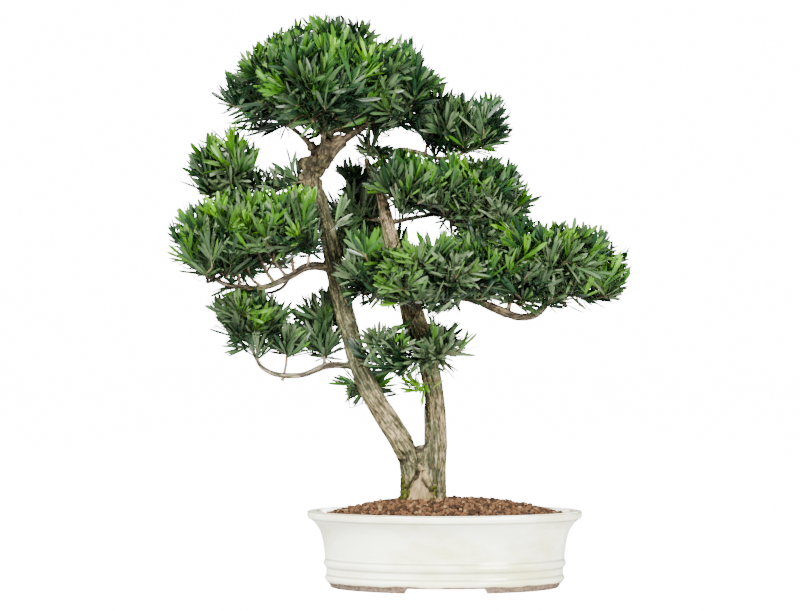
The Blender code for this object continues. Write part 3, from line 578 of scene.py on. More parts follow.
def bark_colour_group():
    inputs = {"Grain": "NodeSocketVector", "Place": "NodeSocketVector"}
    inputs |= {label: "NodeSocketFloat" for label in BARK_MASKS}
    group, given, result = node_group("bark colour", inputs, {"Color": "NodeSocketColor", "Height": "NodeSocketFloat"})
    grain, place = given.outputs["Grain"], given.outputs["Place"]
    strip = add_noise(group, add_scaled(group, grain, (0.24, 0.24, 0.045)), 1.0, 5.0, 0.68)
    streak = add_noise(group, add_scaled(group, grain, (0.28, 0.28, 0.035)), 1.0, 3.0)
    hair = add_noise(group, add_scaled(group, grain, (0.7, 0.7, 0.13)), 1.0, 3.0, 0.6)
    patch = add_noise(group, add_scaled(group, grain, (0.055, 0.055, 0.018)), 1.0, 3.0)
    blotch = add_noise(group, place, 24.0, 4.0)
    speck = add_noise(group, place, 420.0, 2.0)
    speckle = add_noise(group, place, 150.0, 3.0)
    strips = add_steps(group, strip, 0.43, 0.57)
    colour = add_mix(group, strips, (0.062, 0.056, 0.022), (0.250, 0.205, 0.098))
    olive = add_mix(group, strips, (0.056, 0.058, 0.026), (0.205, 0.200, 0.098))
    colour = add_mix(group, add_math(group, "MULTIPLY", given.outputs["Olive"], 0.85), colour, olive)
    grey = add_mix(group, strips, (0.062, 0.050, 0.036), (0.230, 0.185, 0.130))
    colour = add_mix(group, add_math(group, "MULTIPLY", given.outputs["Bough"], 0.85), colour, grey)
    peeled = add_math(group, "SUBTRACT", patch, add_math(group, "MULTIPLY", given.outputs["Olive"], 0.08))
    peeled = add_math(group, "MAXIMUM", add_steps(group, peeled, 0.54, 0.61), given.outputs["Bare"])
    colour = add_mix(group, add_math(group, "MULTIPLY", peeled, 0.85), colour, (0.400, 0.295, 0.158))
    olive_share = add_math(group, "MULTIPLY", given.outputs["Olive"], 0.06)
    green = add_steps(group, add_math(group, "ADD", blotch, olive_share), 0.54, 0.64)
    green = add_math(group, "MAXIMUM", green, given.outputs["Bloom"])
    green = add_math(group, "MULTIPLY", green, add_steps(group, speckle, 0.36, 0.52))
    bloomed = add_mix(group, strips, (0.028, 0.036, 0.014), (0.080, 0.096, 0.050))
    colour = add_mix(group, add_math(group, "MULTIPLY", green, 0.85), colour, bloomed)
    mottle = add_steps(group, speckle, 0.42, 0.60)
    aged = add_mix(group, mottle, (0.014, 0.011, 0.005), (0.128, 0.094, 0.042))
    colour = add_mix(group, add_math(group, "MULTIPLY", given.outputs["Old"], 0.8), colour, aged)
    pale = add_mix(group, add_steps(group, blotch, 0.42, 0.62), (0.330, 0.235, 0.110), (0.110, 0.072, 0.030))
    colour = add_mix(group, add_math(group, "MULTIPLY", given.outputs["Heel"], 0.85), colour, pale)
    crack = add_math(group, "ABSOLUTE", add_math(group, "SUBTRACT", streak, 0.5), 0.0)
    dark = add_math(group, "MULTIPLY", add_steps(group, crack, 0.06, 0.018), 0.8)
    dark = add_math(group, "MAXIMUM", dark, add_math(group, "MULTIPLY", add_steps(group, hair, 0.55, 0.64), 0.65))
    dark = add_math(group, "MULTIPLY", dark, add_math(group, "SUBTRACT", 1.0, add_math(group, "MULTIPLY", given.outputs["Heel"], 0.6)))
    # The furrows, cracks and crevices that the relief carves are painted near black: partly the bark's own dark, partly
    # painted shade.
    dark = add_math(group, "MAXIMUM", dark, given.outputs["Furrow"])
    colour = add_mix(group, dark, colour, (0.012, 0.010, 0.006))
    tuft = add_mix(group, add_steps(group, speck, 0.4, 0.62), (0.012, 0.016, 0.001), (0.046, 0.050, 0.003))
    colour = add_mix(group, given.outputs["Moss"], colour, tuft)
    group.links.new(colour, result.inputs["Color"])
    bumps = add_math(group, "SUBTRACT", add_math(group, "MULTIPLY", strip, 0.8), add_math(group, "MULTIPLY", dark, 0.6))
    group.links.new(add_math(group, "ADD", bumps, add_math(group, "MULTIPLY", speck, 0.3)), result.inputs["Height"])
    return group


def bark_material():
    made = plain_material("bark", (0.3, 0.25, 0.18), 0.82, BARK_GLOSS)
    tree = made.node_tree
    colours = tree.nodes.new("ShaderNodeGroup")
    colours.node_tree = bark_colour_group()
    for label in ("Grain", *BARK_MASKS):
        source = tree.nodes.new("ShaderNodeAttribute")
        source.attribute_name = label.lower()
        tree.links.new(source.outputs["Vector" if label == "Grain" else "Fac"], colours.inputs[label])
    place = tree.nodes.new("ShaderNodeTexCoord")
    tree.links.new(place.outputs["Object"], colours.inputs["Place"])
    shader = tree.nodes["Principled BSDF"]
    tree.links.new(colours.outputs["Color"], shader.inputs["Base Color"])
    bump = tree.nodes.new("ShaderNodeBump")
    bump.inputs["Strength"].default_value = 0.8
    bump.inputs["Distance"].default_value = 1.3 * MM
    tree.links.new(colours.outputs["Height"], bump.inputs["Height"])
    tree.links.new(bump.outputs["Normal"], shader.inputs["Normal"])
    return made


wood.data.materials.append(bark_material())
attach(wood, "root")
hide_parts(*limbs)

# %% [markdown]
# The foliage grows by the rule of the solids. A mass has a space of its own, an ellipsoid. Where two
# masses of one cloud are close their leaves mingle, so their spaces melt together as drops of water do:
# each mass adds a value that fades with distance, and the cloud is where the sum is at least one.

# %% Spaces of the masses
MASSES = {
    "leaves_crown_left": ("bough_crown_left", (-157, 0, 599), (59, 76, 58)),
    "leaves_crown_front": ("bough_crown_front", (-90, -70, 595), (60, 62, 60)),
    "leaves_crown_top": ("trunk", (-84, 0, 640), (64, 64, 46)),
    "leaves_crown_back": ("bough_crown_back", (-78, 72, 600), (62, 62, 58)),
    "leaves_crown_right": ("bough_crown_right", (-8, 0, 602), (55, 76, 58)),
    "leaves_upper_left": ("bough_left_upper", (-208, 8, 500), (52, 58, 46)),
    "leaves_upper_left_spur": ("trunk", (-134, -24, 490), (39, 32, 30), ((-103, -10, 484), (-118, -22, 484))),
    "leaves_middle_left_outer": ("bough_left_middle", (-219, -18, 415), (55, 62, 52)),
    "leaves_middle_left": ("bough_left_middle_fork", (-164, -44, 427), (42, 44, 48)),
    "leaves_middle_left_inner": ("bough_left_middle_spur", (-108, -56, 434), (46, 44, 46)),
    "leaves_middle_left_rear": ("bough_left_rear", (-186, 66, 414), (56, 54, 46)),
    "leaves_low_left": ("bough_left_low", (-181, -8, 324), (48, 56, 46)),
    "leaves_low_left_inner": ("bough_left_low_twig", (-94, 14, 314), (33, 42, 46)),
    "leaves_stem_sprout": ("trunk", (-44, 28, 240), (42, 29, 28), ((-41, -6, 246), (-42, 16, 238))),
    "leaves_stem_shoot": ("stem_right", (25, -28, 243), (28, 26, 26), ((38, 8, 256), (34, -10, 252))),
    "leaves_centre_low": ("stem_right", (19, -42, 288), (67, 44, 40), ((29, 9, 286), (24, -16, 280))),
    "leaves_front_left": ("bough_front_left", (-34, -60, 383), (44, 48, 50)),
    "leaves_front": ("bough_front", (26, -60, 372), (50, 52, 52)),
    "leaves_centre_back": ("bough_centre_back", (-56, 48, 460), (46, 46, 60)),
    "leaves_back": ("bough_back", (-36, 88, 398), (50, 52, 50)),
    "leaves_stem_top": ("stem_right", (-25, -14, 533), (32, 33, 28)),
    "leaves_centre": ("stem_right", (2, -26, 480), (44, 38, 43), ((-22, 9, 466), (-10, -10, 468))),
    "leaves_right_middle": ("bough_right_middle", (50, 0, 478), (45, 50, 42)),
    "leaves_right_outer": ("bough_right_rise", (112, 2, 467), (53, 57, 49)),
    "leaves_upper_right": ("bough_upper_right_twig", (42, 18, 564), (34, 42, 42)),
    "leaves_upper_right_outer": ("bough_upper_right", (95, -2, 554), (38, 44, 40)),
    "leaves_right_inner": ("bough_right_inner", (74, -38, 368), (42, 46, 42)),
    "leaves_right_link": ("bough_right_rise", (97, -24, 416), (31, 34, 30), ((92, 12, 392), (93, -1, 396))),
    "leaves_right_pad": ("bough_right_pad", (154, -4, 387), (49, 64, 57)),
    "leaves_right_pad_outer": ("bough_right_low", (222, 0, 384), (53, 66, 51)),
    "leaves_right_back": ("bough_right_back", (84, 88, 470), (60, 52, 48)),
    "leaves_low_left_link": ("bough_left_low", (-135, -4, 297), (31, 38, 28), ((-139, -14, 253), (-137, -11, 262))),
}
MASS_NAMES = list(MASSES)
CENTRES = np.array([MASSES[name][1] for name in MASS_NAMES], float)
HALVES = np.array([MASSES[name][2] for name in MASS_NAMES], float)
SEGMENT_STARTS = np.concatenate([line[:-1, :3] for line in limbs.values()])
SEGMENT_SPANS = np.concatenate([line[1:, :3] - line[:-1, :3] for line in limbs.values()])
SEGMENT_RADII = np.concatenate([np.maximum(line[:-1, 3], line[1:, 3]) for line in limbs.values()])
SPAN_SQUARES = (SEGMENT_SPANS**2).sum(1)
CLOUDS = (
    ("crown_left", "crown_front", "crown_top", "crown_back", "crown_right"),
    ("middle_left_outer", "middle_left", "middle_left_inner", "middle_left_rear"),
    ("front_left", "front", "right_inner", "right_pad", "right_pad_outer", "right_link"),
    ("centre", "right_middle", "right_outer", "right_back"),
    ("upper_right", "upper_right_outer"),
    ("centre_back", "back"),
)
CLOUD_OF = {"leaves_" + name: number for number, cloud in enumerate(CLOUDS) for name in cloud}
TOGETHER = np.array([[a == b or CLOUD_OF.get(a) == CLOUD_OF.get(b, "none") for b in MASS_NAMES] for a in MASS_NAMES])
# Masses whose underside is open to the bough: lowest leaf, as a share of the half height below the middle.
OPEN_BELOW = {"leaves_middle_left": 0.62, "leaves_middle_left_inner": 1.05, "leaves_middle_left_rear": 0.7}
FLOORS = np.array([c[2] - h[2] * OPEN_BELOW.get(n, 1.1) for n, c, h in zip(MASS_NAMES, CENTRES, HALVES)])
# Open air that runs through the foliage from front to back: x, z and radius.
SKY = np.array([
    (-192, 652, 19), (-204, 632, 13), (42, 650, 16), (44, 628, 12), (-142, 518, 18), (-164, 512, 9), (-82, 488, 14),
    (2, 537, 13), (-18, 534, 9), (26, 449, 9), (42, 447, 7), (16, 416, 9), (36, 415, 9), (-234, 324, 15),
    (-222, 300, 13), (-80, 227, 14), (14, 224, 12), (80, 337, 11), (78, 268, 13), (58, 322, 9), (-96, 372, 12),
], float)
CLOUD_BLEND = 2.2
OWN_REACH = 1.4
TUFT_SIZE = 24.0
TUFT_DEPTH = 1.7
CAD_LOW, CAD_HIGH = np.array(cad_box) / MM + [[-2], [2]]


def in_cloud(points, mass, level=1.0):
    """True for each point within reach of its mass and inside its cloud, whose surface is uneven with tufts."""
    squares = (((points[:, None] - CENTRES) / HALVES) ** 2).sum(2)
    cloud = (np.exp(-CLOUD_BLEND * (squares - 1)) * TOGETHER[mass]).sum(1)
    tufts = np.array([noise.noise(Vector(point)) for point in points / TUFT_SIZE])
    near = (squares[:, mass] <= OWN_REACH**2) & ((points > CAD_LOW) & (points < CAD_HIGH)).all(1)
    sky = (np.linalg.norm(points[:, None, [0, 2]] - SKY[:, :2], axis=2) < SKY[:, 2] * (0.45 + 0.6 * level)).any(1)
    return near & (cloud >= level * np.exp(TUFT_DEPTH * tufts)) & (points[:, 2] > FLOORS[mass]) & ~sky


def clear_of_limbs(points, gap):
    """True for each point that lies further than the gap from the surface of every limb."""
    away = points[:, None] - SEGMENT_STARTS
    t = np.clip((away * SEGMENT_SPANS).sum(2) / SPAN_SQUARES, 0, 1)
    reach = np.linalg.norm(away - t[:, :, None] * SEGMENT_SPANS, axis=2)
    return (reach - SEGMENT_RADII > gap).all(1)


# Stretches of the stems that stand open to the front: stem, heights, and room to the left and right of its axis.
OPEN_STEMS = (
    ("trunk", 392, 474, 3, 16),
    ("trunk", 480, 534, 24, 24),
    ("bough_crown_right", 530, 556, 12, 10),
    ("stem_right", 300, 338, 16, 18),
    ("stem_right", 404, 470, 10, 10),
)


def before_open_stem(points):
    """True for each point that would hide an open stretch of a stem from the front."""
    hidden = np.zeros(len(points), bool)
    for name, low, high, left, right in OPEN_STEMS:
        line = limbs[name][limbs[name][:, 2].argsort()]
        across = points[:, 0] - np.interp(points[:, 2], line[:, 2], line[:, 0])
        ahead = points[:, 1] < np.interp(points[:, 2], line[:, 2], line[:, 1])
        level = (points[:, 2] > low) & (points[:, 2] < high)
        hidden |= ahead & level & (across > -left) & (across < right)
    return hidden


def unit(vectors):
    return vectors / np.linalg.norm(vectors, axis=-1, keepdims=True)


# %% [markdown]
# Shoots crowd at the surface of a mass, where the light is, and rise: outwards at the sides, upright on
# top, level at most below. Their ends are thrown in at random, and one that falls too near another is
# dropped, which spaces them evenly without a pattern.

# %% Shoot ends
SHOOT_SPACING = 17.0
INNER_SPACING = 24.0
SHOOT_TRIES = 1100
TIP_REACH = (13.0, 27.0)
LOWEST_SHOOT = -0.93
RISE = 0.85
SEED = 11
rng = np.random.default_rng(SEED)


def shoot_ends(mass):
    """Ends and headings of the shoots of a mass."""
    centre, half = CENTRES[mass], HALVES[mass]
    ends, headings = [], []
    for _ in range(SHOOT_TRIES):
        out = unit(rng.normal(size=3))
        depth = rng.random() ** 0.4 * 1.08
        if out[2] * depth < LOWEST_SHOOT:
            continue
        end = centre + out * depth * half
        heading = unit(0.35 * unit(out / half) + (0, 0, RISE) + 0.45 * out + 0.22 * rng.normal(size=3))
        tests = np.array((end, end + rng.uniform(*TIP_REACH) * heading))
        nearest = (((end - CENTRES) / HALVES) ** 2).sum(1).argmin()
        if nearest != mass or not in_cloud(tests, mass).all() or not clear_of_limbs(tests[:1], 6.0).all():
            continue
        if before_open_stem(tests).any():
            continue
        spacing = SHOOT_SPACING if depth > 0.5 else INNER_SPACING
        if ends and np.linalg.norm(np.array(ends) - end, axis=1).min() < spacing:
            continue
        ends.append(end)
        headings.append(heading)
    return np.array(ends), np.array(headings)


# %% [markdown]
# Twigs: each shoot's end is joined to the nearest point of the twigs grown so far, the nearest ends
# first, as in the solids. A twig is thin where it carries one shoot and thicker where it carries many,
# by the old rule that a branch is about as thick as all that it feeds.

# %% Growing the twigs
TWIG_STEPS = 5
TWIG_SIDES = 5
TWIG_TIP_RADIUS = 0.68
TWIG_GROWTH = 0.42
TWIG_ROOM = 0.6
SHORTEST_TWIG = 11.0
FEEDER_REACH = 1.35
RISER_COST = 0.75


def bent_line(start, start_way, end, end_way):
    """A Bezier curve between two points with the given directions there."""
    reach = np.linalg.norm(end - start) * 0.36
    t = np.linspace(0, 1, TWIG_STEPS + 1)[:, None]
    s = 1 - t
    bent = 3 * s * s * t * (start + start_way * reach) + 3 * s * t * t * (end - end_way * reach)
    return s**3 * start + bent + t**3 * end


class Twig:
    """One twig: its line, the number of shoots beyond each of its points, and where it leaves another twig."""

    def __init__(self, line, root=None):
        self.line = line
        self.load = np.zeros(len(line))
        self.root = root

    def radii(self):
        return TWIG_TIP_RADIUS * np.maximum(1, self.load) ** TWIG_GROWTH


def feeders_of(mass):
    """The stretches of boughs that pass close to a mass: twigs may rise straight from them."""
    stretches = []
    for name, line in limbs.items():
        shares = (((line[:, :3] - CENTRES[mass]) / HALVES[mass]) ** 2).sum(1)
        near = np.flatnonzero(shares < FEEDER_REACH**2)
        if name.startswith("bough") and len(near) > 3:
            stretches.append(Twig(line[near[0] : near[-1] + 1, :3]))
    return stretches


def grow_twigs(start, way, mass):
    """The stem of a mass and the twigs that carry its shoots."""
    centre, half = CENTRES[mass], HALVES[mass]
    hub = centre - (0, 0, half[2] * 0.35) + (start - centre) * 0.15
    twigs = [Twig(bent_line(start, way, hub, unit(hub - start))), *feeders_of(mass)]
    first = len(twigs)
    places = [(t, i) for t in range(first) for i in range(1, len(twigs[t].line) - (t > 0))]
    risers = np.array([t > 0 for t, _ in places])
    used = [0] * len(places)
    ends, headings = shoot_ends(mass)
    for k in np.linalg.norm(ends - start, axis=1).argsort():
        spots = np.array([twigs[t].line[i] for t, i in places])
        aheads = unit(np.array([twigs[t].line[i] - twigs[t].line[i - 1] for t, i in places]))
        spans = ends[k] - spots
        far = np.linalg.norm(spans, axis=1)
        turns = np.where(risers, RISER_COST, 1.35 - 0.5 * (aheads * spans).sum(1) / np.maximum(far, 1e-6))
        costs = np.where(far > SHORTEST_TWIG, far * turns + 6 * np.array(used), np.inf)
        best = costs.argmin()
        ahead = aheads[best] * (0.3 if risers[best] else 1)
        line = bent_line(spots[best], unit(ahead + spans[best] / far[best]), ends[k], headings[k])
        if not clear_of_limbs(line[3 if risers[best] else 1 :], TWIG_ROOM).all():
            continue
        used[best] += 1
        twigs.append(Twig(line, places[best]))
        places += [(len(twigs) - 1, i) for i in range(1, TWIG_STEPS + 1)]
        risers = np.append(risers, [False] * TWIG_STEPS)
        used += [0] * TWIG_STEPS
    for twig in twigs[first:]:
        last = TWIG_STEPS
        while True:
            twig.load[: last + 1] += 1
            if twig.root is None:
                break
            number, last = twig.root
            twig = twigs[number]
    return twigs[0], twigs[first:]


def tube_arrays(line, radii, sides):
    """Points and faces of an open tube round a line, with a closed tip."""
    line = [Vector(p) for p in line]
    side = (line[1] - line[0]).orthogonal()
    points, faces = [], []
    for i, centre in enumerate(line):
        along = (line[min(i + 1, len(line) - 1)] - line[max(i - 1, 0)]).normalized()
        side = (side - along * side.dot(along)).normalized()
        across = along.cross(side)
        for k in range(sides):
            turn = 2 * math.pi * k / sides
            points.append(centre + radii[i] * (math.cos(turn) * side + math.sin(turn) * across))
    for i in range(len(line) - 1):
        for k in range(sides):
            a, b = i * sides + k, i * sides + (k + 1) % sides
            faces.append((a, b, b + sides, a + sides))
    faces.append(tuple(range((len(line) - 1) * sides, len(line) * sides)))
    return points, faces


grown = []
for mass, name in enumerate(MASS_NAMES):
    feeder, at_side = limbs[MASSES[name][0]], MASSES[name][3:]
    tip, thick = feeder[-1, :3], feeder[-1, 3]
    way = unit(tip - feeder[-2, :3])
    if at_side:
        inside, tip = np.array(at_side[0], float)
        way, thick = unit(tip - inside), 2.4
    stem, shoots = grow_twigs(tip, way, mass)
    grown.append((mass, stem, shoots, tip - way * (16 if at_side else 3), thick))
print(sum(len(shoots) for _, _, shoots, _, _ in grown), "shoots")

# %% [markdown]
# The twigs' tubes are worked out as arrays and joined to one piece, since there are hundreds.

# %% Twig piece
# Bare branchlets that rise from the arched bough on the left to the leaves above it, and the radius at their feet.
BRANCHLETS = [
    ([(-191, -17, 360), (-194, -24, 380), (-201, -30, 412)], 2.3),
    ([(-165, -20, 359), (-177, -30, 370), (-182, -36, 394), (-178, -40, 408)], 2.1),
    ([(-150, -21, 364), (-160, -32, 379), (-167, -38, 396), (-171, -42, 416)], 2.6),
    ([(-158, -30, 377), (-151, -38, 390), (-149, -42, 408)], 1.7),
    ([(-126, -21, 375), (-128, -32, 388), (-127, -40, 404)], 2.6),
    ([(-216, -12, 367), (-207, -20, 385), (-214, -28, 408)], 1.9),
    ([(-206, -15, 361), (-186, -10, 374), (-170, -6, 398)], 1.9),
]
runs = []
for mass, stem, shoots, root, thick in grown:
    runs.append(([root, *stem.line], [thick * 0.97, *np.minimum(thick, stem.radii())]))
    runs += [(twig.line, twig.radii()) for twig in shoots]
for stops, radius in BRANCHLETS:
    line = bough_line(stops, radius, 0.6 * radius)
    runs.append((line[:, :3], line[:, 3]))
points, faces = [], []
for line, widths in runs:
    more, sides = tube_arrays(line, [float(w) for w in widths], TWIG_SIDES)
    faces += [tuple(len(points) + v for v in face) for face in sides]
    points += more
twigs = mesh_piece("twigs", points, faces)
twig_bark = plain_material("twig bark", (0.12, 0.08, 0.05), 0.75, BARK_GLOSS)
tree = twig_bark.node_tree
place = tree.nodes.new("ShaderNodeTexCoord")
tan = add_steps(tree, add_noise(tree, place.outputs["Object"], 60.0, 3.0), 0.4, 0.62)
bark_tone = add_mix(tree, tan, (0.030, 0.024, 0.014), (0.120, 0.085, 0.045))
tree.links.new(bark_tone, tree.nodes["Principled BSDF"].inputs["Base Color"])
twigs.data.materials.append(twig_bark)
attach(twigs, "root")
print("twigs:", triangles(twigs), "triangles")

# %% [markdown]
# Leaves stand in a spiral round each shoot, spread wide below and upright at its end. One that would
# leave the cloud or touch a limb is tried shorter, and then left out. Low in a mass, where little light
# comes, many have dropped.

# %% Placing the leaves
LEAF_LENGTH = 39.0
LEAF_WIDTH = 5.0
SHOOT_LENGTH = 36.0
LEAVES_PER_SHOOT = 26
LEAF_TRIMS = np.array((1.0, 0.86, 0.72))
LEAF_TESTS = np.array((0.55, 1.0))
LIMB_ROOM = 0.8
LOWEST_SPREAD = 55
HIGHEST_SPREAD = 8


def leaves_on(line, mass):
    """Feet, ways, upper sides, lengths, widths and heights on the shoot, for the leaves round the end of a twig."""
    height = np.linspace(0, 1, LEAVES_PER_SHOOT)
    run = np.concatenate(([0], np.cumsum(np.linalg.norm(np.diff(line, axis=0), axis=1))))
    places = np.maximum(run[-1] - SHOOT_LENGTH * (1 - height) ** 1.15, 0.3)

    def at(distances):
        return np.column_stack([np.interp(distances, run, line[:, axis]) for axis in range(3)])

    feet = at(places)
    along = unit(feet - at(places - 0.25))
    side = np.cross(along, unit(rng.normal(size=3)))
    side = unit(side)
    turn = rng.uniform(0, 2 * math.pi) + np.arange(LEAVES_PER_SHOOT) * GOLDEN_ANGLE
    spread = np.radians(LOWEST_SPREAD + (HIGHEST_SPREAD - LOWEST_SPREAD) * height + rng.uniform(-10, 10, height.shape))
    out = np.cos(turn)[:, None] * side + np.sin(turn)[:, None] * np.cross(along, side)
    ways = unit(np.cos(spread)[:, None] * along + np.sin(spread)[:, None] * out + (0, 0, 0.14))
    faces = unit(along - ways * (ways * along).sum(1, keepdims=True))
    roll = rng.uniform(-0.7, 0.7, height.shape)[:, None]
    faces = np.cos(roll) * faces + np.sin(roll) * np.cross(ways, faces)
    lengths = LEAF_LENGTH * rng.uniform(0.8, 1.15, height.shape) * (1 - 0.25 * height**4)
    tests = lengths[:, None, None, None] * LEAF_TRIMS[:, None, None] * LEAF_TESTS[:, None] * ways[:, None, None]
    tests = (tests + feet[:, None, None]).reshape(-1, 3)
    free = in_cloud(tests, mass, rng.uniform(0.35, 1.25)) & clear_of_limbs(tests, LIMB_ROOM) & ~before_open_stem(tests)
    free = free.reshape(len(height), len(LEAF_TRIMS), len(LEAF_TESTS)).all(2)
    lengths = lengths * LEAF_TRIMS[free.argmax(1)]
    low = (line[-1, 2] - CENTRES[mass][2]) / HALVES[mass][2]
    kept = free.any(1) & (rng.random(len(height)) < 1 + 0.25 * low) & (rng.random(len(height)) < 2 + 2 * ways[:, 2])
    widths = LEAF_WIDTH * np.sqrt(lengths / LEAF_LENGTH) * np.clip(0.84 + 0.2 * low + 0.15 * height, 0.6, 1.1)
    return feet[kept], ways[kept], faces[kept], lengths[kept], widths[kept], height[kept]


# %% [markdown]
# A leaf is a narrow strap with a short stalk, a midrib and a drawn-out tip. It is a strip of three
# points across that is folded a little along the midrib and bent back along its length. Every leaf is
# the same strip in its own frame, so all the leaves of one colour are worked out as one array.

# %% Leaf shape
STATIONS = np.array([0.0, 0.14, 0.42, 0.76, 0.93])
STATION_WIDTHS = np.array([0.14, 0.52, 0.92, 1.0, 0.58])
FOLD = 0.16
LEAF_GLOSS = 0.17
LEAVES_PER_PIECE = 10000
LEAST_BEND, MOST_BEND = -0.03, 0.13


def leaf_mesh(name, feet, ways, ups, lengths, widths):
    """One mesh with a leaf at each foot."""
    count, stations = len(feet), len(STATIONS)
    sides = np.cross(ways, ups)
    bends = rng.uniform(LEAST_BEND, MOST_BEND, count)[:, None, None]
    widths, lengths = widths[:, None, None] / 2, lengths[:, None, None]
    t, w = STATIONS[None, :, None], STATION_WIDTHS[None, :, None]
    rows = []
    for across in (-1, 0, 1):
        line = feet[:, None] + ways[:, None] * lengths * t - ups[:, None] * lengths * bends * t * t
        rows.append(line + sides[:, None] * widths * w * across - ups[:, None] * widths * w * FOLD * (1 - abs(across)))
    tips = feet + ways * lengths[:, 0] - ups * lengths[:, 0] * bends[:, 0]
    points = np.concatenate([*rows, tips[:, None]], axis=1)
    tip = 3 * stations
    quads = [
        (row * stations + i, row * stations + i + 1, (row + 1) * stations + i + 1, (row + 1) * stations + i)
        for row in (0, 1)
        for i in range(stations - 1)
    ]
    ends = [((row + 1) * stations - 1, tip, (row + 2) * stations - 1) for row in (0, 1)]
    offsets = np.arange(count)[:, None, None] * (tip + 1)
    faces = (np.array(quads) + offsets).reshape(-1, 4).tolist() + (np.array(ends) + offsets).reshape(-1, 3).tolist()
    return mesh_piece(name, points.reshape(-1, 3), faces)


def leaf_pieces_of(name, leaves, colour, underside, roughness):
    """The leaves of one colour, in as few meshes as their count allows."""
    finish = plain_material(name, colour, roughness, LEAF_GLOSS)
    tree = finish.node_tree
    geometry = tree.nodes.new("ShaderNodeNewGeometry")
    blade = add_mix(tree, geometry.outputs["Backfacing"], colour, underside)
    tree.links.new(blade, tree.nodes["Principled BSDF"].inputs["Base Color"])
    parts = [np.concatenate([leaf[i] for leaf in leaves]) for i in range(5)]
    pieces = []
    for start in range(0, len(parts[0]), LEAVES_PER_PIECE):
        label = name if start == 0 else f"{name}_more"
        pieces.append(leaf_mesh(label, *(part[start : start + LEAVES_PER_PIECE] for part in parts)))
        pieces[-1].data.materials.append(finish)
        print(f"{label}: {triangles(pieces[-1])} triangles")
    return pieces


# %% [markdown]
# Leaf colour follows age, so it is dealt out by shoot: most shoots carry dark, waxy, bluish leaves, some
# have a fresher green at their ends, and a few are this season's yellow-green growth. It also carries painted
# light and shade: shoots high and far out in a mass are dealt lighter greens, those low and deep inside darker
# ones, down to the near-black shaded kind.

# %% Leaf pieces by age and painted light
# Kinds of leaf: top colour, underside colour, roughness. The darker kinds are partly older leaves and partly painted
# shade for leaves low and deep in a mass; the lighter greens are partly painted light high on a mass.
AGES_AND_LIGHT = {
    "leaves_shaded": ((0.002, 0.010, 0.003), (0.008, 0.022, 0.010), 0.34),
    "leaves_deep": ((0.010, 0.032, 0.012), (0.030, 0.052, 0.023), 0.30),
    "leaves_mature": ((0.015, 0.054, 0.009), (0.038, 0.080, 0.024), 0.30),
    "leaves_green": ((0.026, 0.094, 0.005), (0.048, 0.114, 0.018), 0.32),
    "leaves_fresh": ((0.042, 0.146, 0.004), (0.058, 0.156, 0.014), 0.36),
    "leaves_new": ((0.082, 0.235, 0.003), (0.096, 0.240, 0.012), 0.40),
    "leaves_pale": ((0.030, 0.064, 0.023), (0.072, 0.106, 0.050), 0.36),
}
AGE_AND_LIGHT_LEVELS = np.array((0.26, 0.62, 0.98, 1.28, 1.60))
# The pale kind is partly a greyer leaf colour and partly painted light: it lifts the lower parts of the masses outside
# the crown, and the listed masses that lie in shade.
PALE = 6
PALE_SHARE = 0.45
PALE_MASSES = ("leaves_centre_back", "leaves_back", "leaves_upper_left_spur", "leaves_low_left", "leaves_low_left_inner")
# Where each mass starts on the scale from dark to bright: partly the age of its leaves, partly painted light and shade
# for how the mass lies in the light.
YOUTH_AND_LIGHT = {"leaves_stem_shoot": 2.4, "leaves_stem_sprout": 0.9, "leaves_centre_back": 0.45, "leaves_back": 0.5}
YOUTH_AND_LIGHT |= {"leaves_low_left": 0.62, "leaves_low_left_inner": 0.6, "leaves_upper_left_spur": 0.5, "leaves_centre_low": 0.55}
YOUTH_AND_LIGHT |= {"leaves_middle_left_outer": 0.8, "leaves_middle_left": 0.8, "leaves_upper_left": 0.75}
# This season's sprouts: centre and radius.
SPROUTS = [
    (-62, 14, 248, 16), (-20, -24, 474, 18), (-152, -60, 441, 13), (-176, -60, 434, 13), (-122, -70, 424, 13),
    (-120, -60, 456, 13), (-72, -110, 620, 11), (-40, -60, 636, 11), (140, -40, 402, 14), (118, -30, 398, 12),
    (60, -20, 504, 14), (-30, -80, 420, 12), (-100, 0, 668, 12), (-205, 0, 520, 12), (190, -30, 420, 14),
    (22, -24, 492, 14), (-196, -40, 340, 10),
]
dealt = [[] for _ in AGES_AND_LIGHT]
for mass, stem, shoots, root, thick in grown:
    for shoot in shoots:
        place = (shoot.line[-1] - CENTRES[mass]) / HALVES[mass]
        # Shoots high in a mass and far out from its middle get lighter leaves, those low and deep inside darker ones:
        # painted light and painted shade, on top of the younger leaves at each shoot's end.
        youth_and_light = YOUTH_AND_LIGHT.get(MASS_NAMES[mass], 0.6) + 0.45 * place[2] + 0.6 * (np.linalg.norm(place) - 0.5) + rng.normal(0, 0.3)
        sprout = 0.8 * any(np.linalg.norm(shoot.line[-1] - centre) < radius for *centre, radius in SPROUTS)
        leaves = leaves_on(shoot.line, mass)
        ages_and_light = np.searchsorted(AGE_AND_LIGHT_LEVELS, youth_and_light - 0.5 + (0.65 + sprout) * leaves[5] + rng.normal(0, 0.1, len(leaves[5])))
        # Pale leaves are dealt low in a mass and across the shaded masses: partly greyer leaves, partly painted light.
        share = PALE_SHARE * (place[2] < 0.35) * (CLOUD_OF.get(MASS_NAMES[mass]) != 0)
        if rng.random() < max(share, 0.85 * (MASS_NAMES[mass] in PALE_MASSES)):
            ages_and_light[ages_and_light < 3] = PALE
        for age in np.unique(ages_and_light):
            dealt[age].append([values[ages_and_light == age] for values in leaves])
leaf_pieces = [piece for name, leaves in zip(AGES_AND_LIGHT, dealt) for piece in leaf_pieces_of(name, leaves, *AGES_AND_LIGHT[name])]
for piece in leaf_pieces:
    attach(piece, "root")
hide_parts(*MASS_NAMES)

# %% [markdown]
# The pot is a stoneware oval, pressed in a mould and glazed. It is modelled as a potter's profile: a
# ring of the right oval, extruded and scaled from level to level, up the outer wall with its two raised
# bands, over the lip and down the inside.

